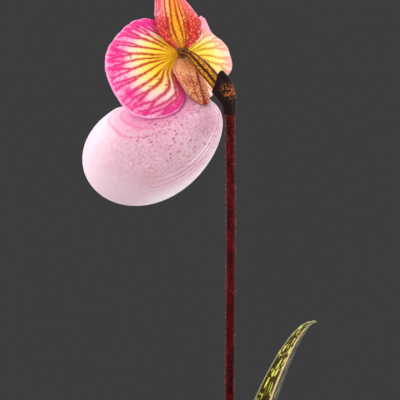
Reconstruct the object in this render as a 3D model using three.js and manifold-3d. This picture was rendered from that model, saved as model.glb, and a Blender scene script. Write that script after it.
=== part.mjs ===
// A slipper orchid in flower in a plain clay pot: one scape with one flower, and a fan of five leaves.
// Millimetres, +Z up. The origin is the centre of the pot's underside, and the flower faces -Y.

import * as THREE from "three";
import { mergeVertices } from "three/addons/utils/BufferGeometryUtils.js";
import Module from "manifold-3d";

const wasm = await Module();
wasm.setup();

const { sin, cos, atan2, sqrt, abs, sign, min, max, exp, PI } = Math;
const degrees = (angle) => (angle * PI) / 180;

// Driving dimensions.
const GAP = 0.3; // between two pieces that touch
const POT = { height: 82, baseRadius: 33, rimRadius: 44, wall: 3.6, floor: 4.5, sides: 48 };
const COLLAR = { height: 15, stand: 2.6, bevel: 1.2 };
const DRAIN = { count: 4, radius: 4, ring: 17, sides: 16 };
const MIX = { top: 73, dish: 1.6, sides: 40, crown: 11.5, rooted: 11 };
const CHIP = { long: 8.4, wide: 5.8, high: 4.2, circles: [[16, 9], [22.4, 13], [28.8, 18]], seed: 7 };
const SCAPE = { radius: 1.8, flare: 0.2, bow: 0.5, steps: 24, sides: 10 };
const FLOWER = { forward: 28.2, height: 248, aboveScape: 23.6 };
const OVARY = { radius: 2.6, foot: 1.4, neck: 1.4, cap: 2.1, ribs: 6, ribDepth: 0.2, steps: 14, sides: 24 };
const BRACT = { thickness: 0.6, foot: 1.98, belly: 3.2, rows: 10, columns: 10 };
const BLADE = { thickness: 0.8, rows: 14, columns: 10 };
const DRAPE = { reach: 1, standOff: 0.95 };
const DORSAL = { base: 1.7, height: 27.8, keel: 0.7, lean: 1 };
const PETAL = { base: [2.1, -1], stand: 1.4, sweep: 0.29, wave: 0.5 };
const SYNSEPAL = { keel: 0.6, lean: 3 };
const POUCH = {
  centre: [17.9, -38.6],
  length: 38,
  depth: 20.6,
  halfWidth: 22.8,
  tilt: degrees(23.6),
  swell: 0.25,
  bend: 0.7,
  wall: 1,
  rings: 20,
  innerRings: 10,
  sides: 32,
};
const CLAW = { from: degrees(28.5), spread: degrees(38), rise: 0.61, width: 0.17, widening: 0.57 };
const MOUTH = { centre: degrees(10), long: degrees(18.5), wide: degrees(20) };
const LIP_ROLL = { drop: 3.4, band: degrees(17) };
const COLUMN = { radius: 1.75, steps: 5, sides: 12, anther: 1.5 };
const STAMINODE = { fold: 1.7, thickness: 1, rows: 8, columns: 8 };
const LEAF = { thickness: 1.2, rows: 18, columns: 6 };

const mix = (a, b, t) => a + (b - a) * t;
const clamp = (value, low = 0, high = 1) => min(high, max(low, value));
const smooth = (low, high, value) => {
  const t = clamp((value - low) / (high - low));
  return t * t * (3 - 2 * t);
};

// A point of the flower: x to its own left, forward and up from its centre.
const flowerPoint = (x, forward, up) => new THREE.Vector3(x, -FLOWER.forward - forward, FLOWER.height + up);

// The same numbers at each build, from 0 to 1.
function seededRandom(seed) {
  let state = seed;
  return () => {
    state = (state * 1664525 + 1013904223) % 4294967296;
    return state / 4294967296;
  };
}

// A smooth line through knots of [at, value].
function lineThrough(knots) {
  const last = knots.length - 1;
  const slopes = knots.map((_, i) => {
    const [a, b] = [knots[max(i - 1, 0)], knots[min(i + 1, last)]];
    return (b[1] - a[1]) / (b[0] - a[0]);
  });
  return (at) => {
    let i = 0;
    while (i < last - 1 && at > knots[i + 1][0]) i++;
    const span = knots[i + 1][0] - knots[i][0];
    const t = clamp((at - knots[i][0]) / span);
    const blend = t * t * (3 - 2 * t);
    const fromLeft = knots[i][1] + slopes[i] * span * t;
    const fromRight = knots[i + 1][1] - slopes[i + 1] * span * (1 - t);
    return mix(fromLeft, fromRight, blend);
  };
}

function geometryFrom(points, faces) {
  const geometry = new THREE.BufferGeometry().setFromPoints(points);
  geometry.setIndex(faces.flat());
  return geometry;
}

function solidOf(geometry) {
  const plain = geometry.clone();
  plain.deleteAttribute("normal");
  plain.deleteAttribute("uv");
  const merged = mergeVertices(plain, 1e-4);
  const vertProperties = merged.attributes.position.array;
  const triVerts = new Uint32Array(merged.index.array);
  return new wasm.Manifold(new wasm.Mesh({ numProp: 3, vertProperties, triVerts }));
}

function geometryOf(solid) {
  const { vertProperties, triVerts } = solid.getMesh();
  return new THREE.BufferGeometry()
    .setAttribute("position", new THREE.BufferAttribute(new Float32Array(vertProperties), 3))
    .setIndex(new THREE.BufferAttribute(new Uint32Array(triVerts), 1));
}

// A thin solid round a grid of points, with both faces split into triangles alike.
function sheetGeometry(grid, thickness) {
  const rows = grid.length - 1;
  const columns = grid[0].length - 1;
  const pick = (i, j) => grid[clamp(i, 0, rows)][clamp(j, 0, columns)];
  const faceA = [];
  const faceB = [];
  for (let i = 0; i <= rows; i++) {
    for (let j = 0; j <= columns; j++) {
      const along = pick(i + 1, j).clone().sub(pick(i - 1, j));
      const across = pick(i, j + 1).clone().sub(pick(i, j - 1));
      const half = along.cross(across).normalize().multiplyScalar(thickness / 2);
      faceA.push(grid[i][j].clone().add(half));
      faceB.push(grid[i][j].clone().sub(half));
    }
  }
  const size = faceA.length;
  const at = (i, j) => i * (columns + 1) + j;
  const faces = [];
  const quad = (a, b, c, d) => faces.push([a, b, c], [a, c, d]);
  for (let i = 0; i < rows; i++) {
    for (let j = 0; j < columns; j++) {
      const [a, b, c, d] = [at(i, j), at(i + 1, j), at(i + 1, j + 1), at(i, j + 1)];
      quad(a, b, c, d);
      faces.push([size + a, size + c, size + b], [size + a, size + d, size + c]);
    }
  }
  for (let i = 0; i < rows; i++) {
    quad(at(i, 0), at(i, 0) + size, at(i + 1, 0) + size, at(i + 1, 0));
    quad(at(i + 1, columns), at(i + 1, columns) + size, at(i, columns) + size, at(i, columns));
  }
  for (let j = 0; j < columns; j++) {
    quad(at(0, j + 1), at(0, j + 1) + size, at(0, j) + size, at(0, j));
    quad(at(rows, j), at(rows, j) + size, at(rows, j + 1) + size, at(rows, j + 1));
  }
  return geometryFrom([...faceA, ...faceB], faces);
}

// Points place(t, s) for t from 0 to 1 and s from -1 to 1. Rounded blades have more rows near both ends.
function gridOf(place, rows, columns, rounded = false) {
  return Array.from({ length: rows + 1 }, (_, i) => {
    const t = rounded ? (1 - cos((PI * i) / rows)) / 2 : i / rows;
    return Array.from({ length: columns + 1 }, (_, j) => place(t, (2 * j) / columns - 1));
  });
}

// A closed solid through rings of equal length, with a point at each end.
function ringsGeometry(rings, firstPoint, lastPoint) {
  const sides = rings[0].length;
  const points = [firstPoint, ...rings.flat(), lastPoint];
  const last = points.length - 1;
  const at = (i, j) => 1 + i * sides + (j % sides);
  const faces = [];
  for (let j = 0; j < sides; j++) {
    faces.push([0, at(0, j + 1), at(0, j)]);
    faces.push([last, at(rings.length - 1, j), at(rings.length - 1, j + 1)]);
  }
  for (let i = 0; i < rings.length - 1; i++) {
    for (let j = 0; j < sides; j++) {
      faces.push([at(i, j), at(i, j + 1), at(i + 1, j + 1)], [at(i, j), at(i + 1, j + 1), at(i + 1, j)]);
    }
  }
  return geometryFrom(points, faces);
}

// A rod along a curve in the plane x = 0, whose radius is radiusAt(t, angle).
function rodGeometry(curve, radiusAt, steps, sides) {
  const sideways = new THREE.Vector3(1, 0, 0);
  const rings = [];
  for (let i = 0; i <= steps; i++) {
    const t = i / steps;
    const centre = curve.getPoint(t);
    const normal = curve.getTangent(t).cross(sideways);
    rings.push(
      Array.from({ length: sides }, (_, j) => {
        const angle = (2 * PI * j) / sides;
        const radius = radiusAt(t, angle);
        return centre
          .clone()
          .addScaledVector(sideways, radius * cos(angle))
          .addScaledVector(normal, radius * sin(angle));
      }),
    );
  }
  return ringsGeometry(rings, curve.getPoint(0), curve.getPoint(1));
}

const potOuter = (z) => mix(POT.baseRadius, POT.rimRadius, z / POT.height);
const potInner = (z) => potOuter(z) - POT.wall;

function potGeometry() {
  const foot = POT.height - COLLAR.height;
  const collar = potOuter(POT.height) + COLLAR.stand;
  const profile = [
    [0, 0],
    [potOuter(0) - COLLAR.bevel, 0],
    [potOuter(COLLAR.bevel), COLLAR.bevel],
    [potOuter(foot), foot],
    [potOuter(foot) + COLLAR.stand, foot + COLLAR.bevel],
    [collar, POT.height - COLLAR.bevel],
    [collar - COLLAR.bevel, POT.height],
    [potInner(POT.height) + COLLAR.bevel, POT.height],
    [potInner(POT.height), POT.height - COLLAR.bevel],
    [potInner(POT.floor), POT.floor],
    [0, POT.floor],
  ].map(([radius, z]) => new THREE.Vector2(radius, z));
  const drill = new THREE.CylinderGeometry(DRAIN.radius, DRAIN.radius, 3 * POT.floor, DRAIN.sides);
  drill.rotateX(PI / 2);
  let pot = solidOf(new THREE.LatheGeometry(profile, POT.sides).rotateX(PI / 2));
  for (let i = 0; i < DRAIN.count; i++) {
    const angle = (2 * PI * (i + 0.5)) / DRAIN.count;
    const hole = drill.clone().translate(DRAIN.ring * cos(angle), DRAIN.ring * sin(angle), 0);
    pot = pot.subtract(solidOf(hole));
  }
  return geometryOf(pot);
}

const mixSurface = (radius) => MIX.top - MIX.dish * (radius / potInner(MIX.top)) ** 2;

// One piece of bark: a box with its corners pushed about.
function chipSolid(radius, angle, random) {
  const spread = (size) => size * mix(0.75, 1.1, random());
  const chip = new THREE.BoxGeometry(spread(CHIP.long), spread(CHIP.wide), spread(CHIP.high));
  const corners = mergeVertices(chip.deleteAttribute("normal").deleteAttribute("uv"));
  const position = corners.attributes.position;
  for (let i = 0; i < position.count; i++) {
    const shrink = mix(0.68, 1.02, random());
    position.setXYZ(i, position.getX(i) * shrink, position.getY(i) * shrink, position.getZ(i) * shrink);
  }
  corners.rotateX(0.5 * (random() - 0.5)).rotateY(0.5 * (random() - 0.5));
  corners.rotateZ(angle + PI / 2 + 1.2 * (random() - 0.5));
  corners.translate(radius * cos(angle), radius * sin(angle), mixSurface(radius) + 0.12 * CHIP.high);
  return solidOf(corners);
}

function mixGeometry() {
  const bottom = POT.floor + GAP;
  const edge = potInner(MIX.top) - GAP;
  const profile = [
    [0, bottom],
    [potInner(bottom) - GAP, bottom],
    [edge, mixSurface(edge)],
    [0.7 * edge, mixSurface(0.7 * edge)],
    [0.4 * edge, mixSurface(0.4 * edge)],
    [0, MIX.top],
  ].map(([radius, z]) => new THREE.Vector2(radius, z));
  const crown = new THREE.CylinderGeometry(MIX.crown, MIX.crown, 2 * MIX.rooted, 24);
  crown.rotateX(PI / 2).translate(0, 0, MIX.top);
  const random = seededRandom(CHIP.seed);
  let solid = solidOf(new THREE.LatheGeometry(profile, MIX.sides).rotateX(PI / 2));
  for (const [radius, count] of CHIP.circles) {
    for (let i = 0; i < count; i++) {
      solid = solid.add(chipSolid(radius, (2 * PI * (i + 0.3 * random())) / count, random));
    }
  }
  return geometryOf(solid.subtract(solidOf(crown)));
}

const rootedZ = MIX.top - MIX.rooted + GAP;
const scapeTop = FLOWER.height - FLOWER.aboveScape;

// One leaf of the fan. It wraps the scape at its foot, and opens into a keeled channel.
// lean holds the control points of its middle line as [outward, height above the mix].
function leafPlace({ out, base, width, lean, taper = [0.55, 2.4], fold = 0.3, wave = 0, phase = 0 }) {
  const outward = new THREE.Vector3(cos(out), sin(out), 0);
  const sideways = new THREE.Vector3(-sin(out), cos(out), 0);
  const controls = [[base, rootedZ - MIX.top], ...lean];
  const curve = new THREE.CubicBezierCurve3(
    ...controls.map(([along, up]) => outward.clone().multiplyScalar(along).setZ(MIX.top + up)),
  );
  const foot = min(1.3 * base, 7.6);
  return (t, s) => {
    const opened = smooth(0.04, 0.42, t);
    const tip = (1 - clamp((t - taper[0]) / (1 - taper[0])) ** taper[1]) ** 0.75;
    const half = mix(foot, width, opened) * max(tip, 0.06);
    const bend = mix(1 / base, 0.018, opened);
    const across = half * s;
    const arc = (1 - cos(bend * across)) / bend;
    const channel = fold * (sqrt(across ** 2 + 1) - 1);
    const ripple = wave * s ** 2 * sin(5 * PI * t + phase + 1.4 * s);
    const lift = arc + opened * (channel + ripple);
    const inward = curve.getTangent(t).cross(sideways);
    return curve
      .getPoint(t)
      .addScaledVector(sideways, sin(bend * across) / bend)
      .addScaledVector(inward, lift);
  };
}

// Youngest first, in two ranks that face away from each other.
const rank = degrees(98);
const LEAVES = {
  leaf_young: {
    out: rank,
    base: 2.9,
    width: 8.7,
    lean: [
      [11, 24.5],
      [32.7, 76.3],
      [43.2, 74.8],
    ],
    taper: [0.3, 1.03],
    fold: 0.19,
  },
  leaf_left: {
    out: rank + degrees(186),
    base: 3.5,
    width: 9,
    lean: [
      [4.4, 30],
      [34, 38],
      [84, 9],
    ],
    wave: 0.7,
    phase: 1,
  },
  leaf_right: {
    out: rank - degrees(10),
    base: 5,
    width: 9.6,
    lean: [
      [11, 24],
      [38, 47],
      [92, 8],
    ],
    wave: 0.8,
    phase: 3,
  },
  leaf_front: {
    out: rank + degrees(164),
    base: 5.5,
    width: 9.8,
    lean: [
      [6.8, 28],
      [42, 30],
      [93, -2],
    ],
    wave: 0.8,
    phase: 5,
  },
  leaf_back: {
    out: rank + degrees(13),
    base: 7.2,
    width: 9.2,
    lean: [
      [11.2, 20],
      [42, 25],
      [88, -3],
    ],
    wave: 0.7,
    phase: 2,
  },
};

function leafGeometry(leaf) {
  return sheetGeometry(gridOf(leafPlace(leaf), LEAF.rows, LEAF.columns), LEAF.thickness);
}

const scapeCurve = new THREE.CatmullRomCurve3([
  new THREE.Vector3(0, 0, rootedZ),
  new THREE.Vector3(0, 0, MIX.top),
  new THREE.Vector3(0, -SCAPE.bow, mix(MIX.top, scapeTop, 0.25)),
  new THREE.Vector3(0, 0, mix(MIX.top, scapeTop, 0.7)),
  new THREE.Vector3(0, -SCAPE.bow, scapeTop),
]);

function scapeGeometry() {
  const radiusAt = (t) => SCAPE.radius + SCAPE.flare * (1 - smooth(0, 0.25, t));
  return rodGeometry(scapeCurve, radiusAt, SCAPE.steps, SCAPE.sides);
}

// From the top of the scape to the back of the flower, as [behind, below] the flower's centre.
const ovaryCurve = new THREE.CatmullRomCurve3(
  [
    [27.6, 23.3],
    [27.3, 19.8],
    [25.2, 16.4],
    [21.4, 12.8],
    [15.5, 8.4],
    [9.6, 4.6],
    [4.2, 1.3],
    [-0.5, 0.1],
  ].map(([behind, below]) => flowerPoint(0, -behind, -below)),
);

function ovaryGeometry() {
  const radiusAt = (t, angle) => {
    const ends = t < 0.5 ? OVARY.foot : mix(OVARY.neck, OVARY.cap, smooth(0.93, 1, t));
    const body = mix(ends, OVARY.radius, smooth(0, 0.5, t) * (1 - smooth(0.62, 0.92, t)));
    return body + OVARY.ribDepth * cos(OVARY.ribs * angle);
  };
  return rodGeometry(ovaryCurve, radiusAt, OVARY.steps, OVARY.sides);
}

// The bract's keel, as [behind, below], and its breadth to one side of the keel.
const bractKeel = new THREE.CatmullRomCurve3(
  [
    [29.5, 23.4],
    [29.5, 18.4],
    [28.2, 13.4],
    [25.9, 9.5],
    [22.5, 6.4],
  ].map(([behind, below]) => flowerPoint(0, -behind, -below)),
);
const bractBreadth = lineThrough([
  [0, 4.6], [0.2, 5.4], [0.4, 7.6], [0.6, 9.2], [0.75, 8.2], [0.88, 4.8], [1, 0.5],
]);

function bractPlace(t, s) {
  const sideways = new THREE.Vector3(1, 0, 0);
  const round = mix(BRACT.foot, BRACT.belly, smooth(0, 0.3, t)) * (1 - 0.5 * smooth(0.75, 1, t));
  const inward = sideways.clone().cross(bractKeel.getTangent(t));
  const breadth = bractBreadth(t) * abs(s);
  const turn = min(breadth / round, PI / 2);
  const straight = breadth - turn * round;
  return bractKeel
    .getPoint(t)
    .addScaledVector(sideways, sign(s) * round * sin(turn))
    .addScaledVector(inward, round * (1 - cos(turn)) + straight);
}

// The pouch is an egg, drawn out at the back of its mouth into the claw that holds it.
// away is the angle from the middle of the mouth, and round goes once round it, from the back.
function pouchPoint(away, round) {
  const along = cos(away) * -sin(MOUTH.centre) + sin(away) * cos(round) * -cos(MOUTH.centre);
  const over = cos(away) * cos(MOUTH.centre) + sin(away) * cos(round) * -sin(MOUTH.centre);
  const aside = sin(away) * sin(round);
  const tipped = atan2(-along, over);
  const back = clamp((tipped - CLAW.from) / CLAW.spread);
  const width = CLAW.width + CLAW.widening * back;
  const claw = smooth(0.1, CLAW.from, tipped) * exp(-((aside / width) ** 2)) * (1 - back) ** 2;
  const size = 1 + CLAW.rise * claw;
  const swell = 1 + POUCH.swell * along;
  const forward = size * POUCH.length * along;
  const up = size * (POUCH.depth * over * swell + POUCH.bend * along ** 2);
  const rim = 1 - smooth(0, LIP_ROLL.band, away - mouthEdge(round));
  const roll = LIP_ROLL.drop * rim ** 2 * (1 - claw);
  return flowerPoint(
    size * POUCH.halfWidth * aside * swell,
    POUCH.centre[0] + forward * cos(POUCH.tilt) + up * sin(POUCH.tilt),
    POUCH.centre[1] - forward * sin(POUCH.tilt) + up * cos(POUCH.tilt) - roll,
  );
}

function mouthEdge(round) {
  return 1 / sqrt((cos(round) / MOUTH.long) ** 2 + (sin(round) / MOUTH.wide) ** 2);
}

// The same surface moved in by depth.
function pouchInside(away, round, depth) {
  const step = 1e-3;
  const down = pouchPoint(away + step, round).sub(pouchPoint(away - step, round));
  const aside = pouchPoint(away, round + step).sub(pouchPoint(away, round - step));
  return pouchPoint(away, round).addScaledVector(down.cross(aside).normalize(), depth);
}

function pouchGeometry() {
  const ring = (share, depth) =>
    Array.from({ length: POUCH.sides }, (_, j) => {
      const round = (-2 * PI * j) / POUCH.sides;
      const edge = mouthEdge(round);
      return pouchInside(mix(edge, PI, share), round, depth);
    });
  const shares = (count) => Array.from({ length: count }, (_, i) => 1 - ((i + 1) / count) ** 0.9);
  const outer = shares(POUCH.rings).map((share) => ring(share, 0));
  const inner = shares(POUCH.innerRings)
    .reverse()
    .map((share) => ring(share, POUCH.wall));
  const pole = pouchPoint(PI - 1e-4, 0);
  return ringsGeometry([...outer, ...inner], pole, pole.clone().add(new THREE.Vector3(0, 0, POUCH.wall)));
}

// How far back, in y, the meshes reach at x and z, and -Infinity beside them.
function backOf(meshes, x, z) {
  const ray = new THREE.Raycaster(new THREE.Vector3(x, 200, z), new THREE.Vector3(0, -1, 0));
  const hits = ray.intersectObjects(meshes);
  return hits.length ? 200 - hits[0].distance : -Infinity;
}

// Each number of a grid becomes what combine makes of it and the numbers round it.
function withNeighbours(field, combine) {
  const steps = [-1, 0, 1];
  return field.map((row, i) =>
    row.map((_, j) => {
      const near = steps.flatMap((di) => steps.map((dj) => field[i + di]?.[j + dj]));
      return combine(near.filter((value) => value !== undefined));
    }),
  );
}

// Moves a grid smoothly backwards where it, or a point close beside it, would touch the meshes in front.
function drape(grid, meshes) {
  const { reach, standOff } = DRAPE;
  const around = [
    [0, 0],
    [reach, 0],
    [-reach, 0],
    [0, reach],
    [0, -reach],
  ];
  const pushed = grid.map((row) =>
    row.map((point) => {
      const backs = around.map(([x, z]) => backOf(meshes, point.x + x, point.z + z));
      return max(0, max(...backs) + standOff - point.y);
    }),
  );
  const widened = withNeighbours(pushed, (near) => max(...near));
  const smoothed = withNeighbours(widened, (near) => near.reduce((a, b) => a + b) / near.length);
  grid.forEach((row, i) => row.forEach((point, j) => (point.y += smoothed[i][j])));
  return grid;
}

// The petals aren't a mirrored pair: the left one's lower side lies back over the pouch, and the right one
// hangs lower, is narrower and curls forward. up and down are the breadths above and below the middle line.
const PETALS = {
  petal_left: {
    side: 1,
    length: 30.2,
    droop: degrees(13),
    clasp: 11.5,
    up: lineThrough([
      [0, 2.2], [0.06, 8], [0.14, 13], [0.25, 16.2], [0.4, 17.3], [0.55, 16.6], [0.7, 14.6], [0.82, 11.6],
      [0.92, 8], [0.98, 3.8], [1, 0.8],
    ]),
    down: lineThrough([
      [0, 1.6], [0.08, 5], [0.18, 9.4], [0.28, 13.4], [0.4, 17.4], [0.5, 19.4], [0.62, 20.6], [0.75, 19.3],
      [0.86, 15.6], [0.94, 10.3], [0.985, 5], [1, 0.8],
    ]),
  },
  petal_right: {
    side: -1,
    length: 36.1,
    droop: degrees(20),
    clasp: -9,
    up: lineThrough([
      [0, 2.2], [0.04, 10], [0.09, 15.8], [0.16, 17.4], [0.24, 16.4], [0.35, 14.4],
      [0.5, 13.3], [0.67, 12.1], [0.82, 9.4],
      [0.93, 5.8], [0.985, 2.8], [1, 0.8],
    ]),
    down: lineThrough([
      [0, 1.6], [0.08, 4.4], [0.18, 7.6], [0.3, 10.6], [0.45, 13], [0.6, 13.6], [0.75, 12.4], [0.87, 9.2],
      [0.95, 5.6], [0.99, 2.7], [1, 0.8],
    ]),
  },
};

function petalPlace({ side, length, droop, clasp, up, down }) {
  return (t, s) => {
    const along = length * t;
    const across = s > 0 ? up(t) * s : down(t) * s;
    const x = PETAL.base[0] + along * cos(droop) + across * sin(droop);
    const z = PETAL.base[1] - along * sin(droop) + across * cos(droop);
    const low = smooth(-6, -18, z) * (clasp > 0 ? 1 - smooth(9, 22, x) : 1);
    const wave = PETAL.wave * s ** 2 * sin(4.4 * PI * t + 1.5 * s);
    return flowerPoint(side * x, PETAL.stand + PETAL.sweep * x - clasp * low + wave, z);
  };
}

const dorsalWidth = lineThrough([
  [0, 3.4], [0.08, 7.4], [0.18, 10.3], [0.3, 11.5], [0.42, 11.3], [0.56, 9.6], [0.7, 7.3], [0.83, 4.9],
  [0.94, 2.1], [1, 0.6],
]);
const dorsalForward = lineThrough([[0, 1.7], [0.3, 2.9], [0.5, 4.4], [0.7, 6.2], [1, 9.4]]);

function dorsalPlace(t, s) {
  const hood = 0.3 + 3.3 * t;
  const forward = dorsalForward(t) + hood * s * s - DORSAL.keel * exp(-((s / 0.16) ** 2)) * (1 - t);
  const lean = DORSAL.lean * smooth(0, 0.4, t);
  return flowerPoint(dorsalWidth(t) * s + lean, forward, DORSAL.base + DORSAL.height * t);
}

// The synsepal hangs behind the pouch's claw, as [share of its length, value].
const synsepalWidth = lineThrough([
  [0, 3.2], [0.14, 5.4], [0.35, 6.4], [0.58, 6.2], [0.75, 5.2], [0.88, 3.6], [1, 0.8],
]);
const synsepalBehind = lineThrough([[0, -0.9], [0.07, 1.9], [0.17, 5], [0.43, 8.3], [0.7, 11], [1, 13.4]]);
const synsepalWrap = lineThrough([[0, 0.2], [0.18, 5.4], [0.43, 4.8], [0.63, 3.1], [0.8, 2], [1, 0.3]]);

function synsepalPlace(t, s) {
  const forward = synsepalWrap(t) * s * s - synsepalBehind(t) - SYNSEPAL.keel * exp(-((s / 0.2) ** 2));
  return flowerPoint(synsepalWidth(t) * s + SYNSEPAL.lean * t ** 2, forward, -2.5 - 17.5 * t);
}

const columnCurve = new THREE.QuadraticBezierCurve3(
  flowerPoint(0, 0.8, 0.2),
  flowerPoint(0, 4, 0.4),
  flowerPoint(0, 8.6, -1.2),
);

// The column, with an anther on each side and the stigma below, joined in one piece.
function columnGeometry() {
  const start = COLUMN.radius - 0.4;
  const radiusAt = (t) => mix(start, COLUMN.radius, smooth(0, 0.4, t)) * (1 - 0.25 * smooth(0.8, 1, t));
  let column = solidOf(rodGeometry(columnCurve, radiusAt, COLUMN.steps, COLUMN.sides));
  for (const side of [-1, 1]) {
    const anther = new THREE.SphereGeometry(COLUMN.anther, 8, 6).scale(0.8, 1.2, 0.8);
    const centre = flowerPoint(side * COLUMN.radius * 1.15, 6.2, -1.2);
    column = column.add(solidOf(anther.translate(...centre)));
  }
  const stigma = new THREE.SphereGeometry(2, 10, 6).scale(0.9, 1, 0.7);
  return geometryOf(column.add(solidOf(stigma.translate(...flowerPoint(0, 8, -3.4)))));
}

const staminodeCurve = new THREE.CubicBezierCurve3(
  flowerPoint(0, 6.8, 2),
  flowerPoint(0, 11, 2.4),
  flowerPoint(0, 15.6, -1),
  flowerPoint(0, 16.8, -9.4),
);
const staminodeWidth = lineThrough([[0, 1.8], [0.15, 4], [0.4, 5.2], [0.7, 4.7], [0.9, 2.8], [1, 0.7]]);

function staminodePlace(t, s) {
  const sideways = new THREE.Vector3(1, 0, 0);
  const outward = staminodeCurve.getTangent(t).cross(sideways).negate();
  const across = staminodeWidth(t) * s;
  const crease = -STAMINODE.fold * (1 - exp(-((across / 3) ** 2)));
  return staminodeCurve.getPoint(t).addScaledVector(sideways, across).addScaledVector(outward, crease);
}

const LOOKS = {
  pot: { color: 0xb4694a, roughness: 0.85 },
  mix: { color: 0x4a3324, roughness: 0.95 },
  leaf: { color: 0x5d6b33, roughness: 0.45 },
  scape: { color: 0x5e1f22, roughness: 0.6 },
  ovary: { color: 0x8a5526, roughness: 0.6 },
  bract: { color: 0x3a1f12, roughness: 0.5 },
  sepal: { color: 0xd98a45, roughness: 0.5 },
  petal: { color: 0xf2b46e, roughness: 0.5 },
  lip: { color: 0xe6bdd0, roughness: 0.45 },
  column: { color: 0xf0e2b0, roughness: 0.5 },
};

const group = new THREE.Group();

function addPiece(name, geometry, look) {
  const material = new THREE.MeshStandardMaterial({ ...LOOKS[look], metalness: 0 });
  const mesh = new THREE.Mesh(geometry, material);
  mesh.name = name;
  group.add(mesh);
  return mesh;
}

addPiece("pot", potGeometry(), "pot");
addPiece("potting_mix", mixGeometry(), "mix");
for (const [name, leaf] of Object.entries(LEAVES)) {
  addPiece(name, leafGeometry(leaf), "leaf");
}
addPiece("scape", scapeGeometry(), "scape");
addPiece("ovary", ovaryGeometry(), "ovary");
addPiece("bract", sheetGeometry(gridOf(bractPlace, BRACT.rows, BRACT.columns), BRACT.thickness), "bract");

const lip = addPiece("lip", pouchGeometry(), "lip");
const blade = (place) => gridOf(place, BLADE.rows, BLADE.columns, true);
const petals = Object.entries(PETALS).map(([name, petal]) =>
  addPiece(name, sheetGeometry(drape(blade(petalPlace(petal)), [lip]), BLADE.thickness), "petal"),
);
const inner = [lip, ...petals];
for (const [name, place] of [
  ["dorsal_sepal", dorsalPlace],
  ["synsepal", synsepalPlace],
]) {
  addPiece(name, sheetGeometry(drape(blade(place), inner), BLADE.thickness), "sepal");
}
addPiece("column", columnGeometry(), "column");
const staminode = gridOf(staminodePlace, STAMINODE.rows, STAMINODE.columns, true);
addPiece("staminode", sheetGeometry(staminode, STAMINODE.thickness), "column");

export default group;
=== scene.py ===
# A slipper orchid in its clay pot: the finer flower, leaves, bark and pot, and all their finishes.
# Shapes are worked out in millimetres, as the solids are, and meshFrom() turns them into metres.

import random
from math import acos, atan2, copysign, cos, degrees, exp, hypot, pi, radians, sin, sqrt

import bpy
import numpy as np
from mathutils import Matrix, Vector, noise
from mathutils.bvhtree import BVHTree
from mathutils.kdtree import KDTree


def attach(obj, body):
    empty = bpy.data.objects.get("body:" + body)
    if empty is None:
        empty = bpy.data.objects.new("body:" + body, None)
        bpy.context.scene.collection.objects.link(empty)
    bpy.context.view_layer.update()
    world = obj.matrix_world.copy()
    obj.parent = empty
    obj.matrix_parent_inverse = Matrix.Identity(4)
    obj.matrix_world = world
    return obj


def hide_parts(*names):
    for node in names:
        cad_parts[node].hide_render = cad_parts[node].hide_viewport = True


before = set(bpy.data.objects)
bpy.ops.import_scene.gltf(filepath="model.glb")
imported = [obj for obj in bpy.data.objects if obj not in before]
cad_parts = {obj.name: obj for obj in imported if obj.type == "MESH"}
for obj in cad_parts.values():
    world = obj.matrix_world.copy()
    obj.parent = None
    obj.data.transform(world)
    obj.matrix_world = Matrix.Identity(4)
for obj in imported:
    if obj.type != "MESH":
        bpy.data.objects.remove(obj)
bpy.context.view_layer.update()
mm = 0.001
print("frame loaded:", len(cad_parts), "nodes")


def mix(a, b, t):
    return a + (b - a) * t


def clamp(value, low=0.0, high=1.0):
    return max(low, min(high, value))


def smooth(low, high, value):
    t = clamp((value - low) / (high - low))
    return t * t * (3 - 2 * t)


def lineThrough(knots):
    last = len(knots) - 1
    slopes = []
    for i in range(last + 1):
        a, b = knots[max(i - 1, 0)], knots[min(i + 1, last)]
        slopes.append((b[1] - a[1]) / (b[0] - a[0]))

    def valueAt(at):
        i = 0
        while i < last - 1 and at > knots[i + 1][0]:
            i += 1
        span = knots[i + 1][0] - knots[i][0]
        t = clamp((at - knots[i][0]) / span)
        fromLeft = knots[i][1] + slopes[i] * span * t
        fromRight = knots[i + 1][1] - slopes[i + 1] * span * (1 - t)
        return mix(fromLeft, fromRight, t * t * (3 - 2 * t))

    return valueAt


# a centripetal curve through points, from t = 0 to 1
def curveThrough(points):
    points = [Vector(p) for p in points]
    ends = [2 * points[0] - points[1]] + points + [2 * points[-1] - points[-2]]

    def pointAt(t):
        place = clamp(t) * (len(points) - 1)
        i = min(int(place), len(points) - 2)
        w = place - i
        p0, p1, p2, p3 = ends[i : i + 4]
        d0, d1, d2 = (max((b - a).length ** 0.5, 1e-4) for a, b in ((p0, p1), (p1, p2), (p2, p3)))
        start = ((p1 - p0) / d0 - (p2 - p0) / (d0 + d1) + (p2 - p1) / d1) * d1
        end = ((p2 - p1) / d1 - (p3 - p1) / (d1 + d2) + (p3 - p2) / d2) * d1
        cubic = 2 * p1 - 2 * p2 + start + end
        square = 3 * p2 - 3 * p1 - 2 * start - end
        return p1 + start * w + square * w**2 + cubic * w**3

    return pointAt


def bezier(points):
    points = [Vector(p) for p in points]

    def pointAt(t):
        level = points
        while len(level) > 1:
            level = [a.lerp(b, t) for a, b in zip(level, level[1:])]
        return level[0]

    return pointAt


def tangentOf(curve, t):
    return (curve(min(t + 1e-4, 1)) - curve(max(t - 1e-4, 0))).normalized()


flower = {"forward": 28.2, "height": 248, "aboveScape": 23.6}


# x to the flower's own left, forward and up from its centre
def flowerPoint(x, forward, up):
    return Vector((x, -flower["forward"] - forward, flower["height"] + up))


# meshes

def meshFrom(name, points, faces, values=None):
    mesh = bpy.data.meshes.new(name)
    mesh.from_pydata([Vector(p) * mm for p in points], [], faces)
    mesh.validate()
    for key, numbers in (values or {}).items():
        layer = mesh.attributes.new(key, "FLOAT", "POINT")
        layer.data.foreach_set("value", np.array(numbers, np.float32))
    piece = bpy.data.objects.new(name, mesh)
    bpy.context.scene.collection.objects.link(piece)
    return piece


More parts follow.
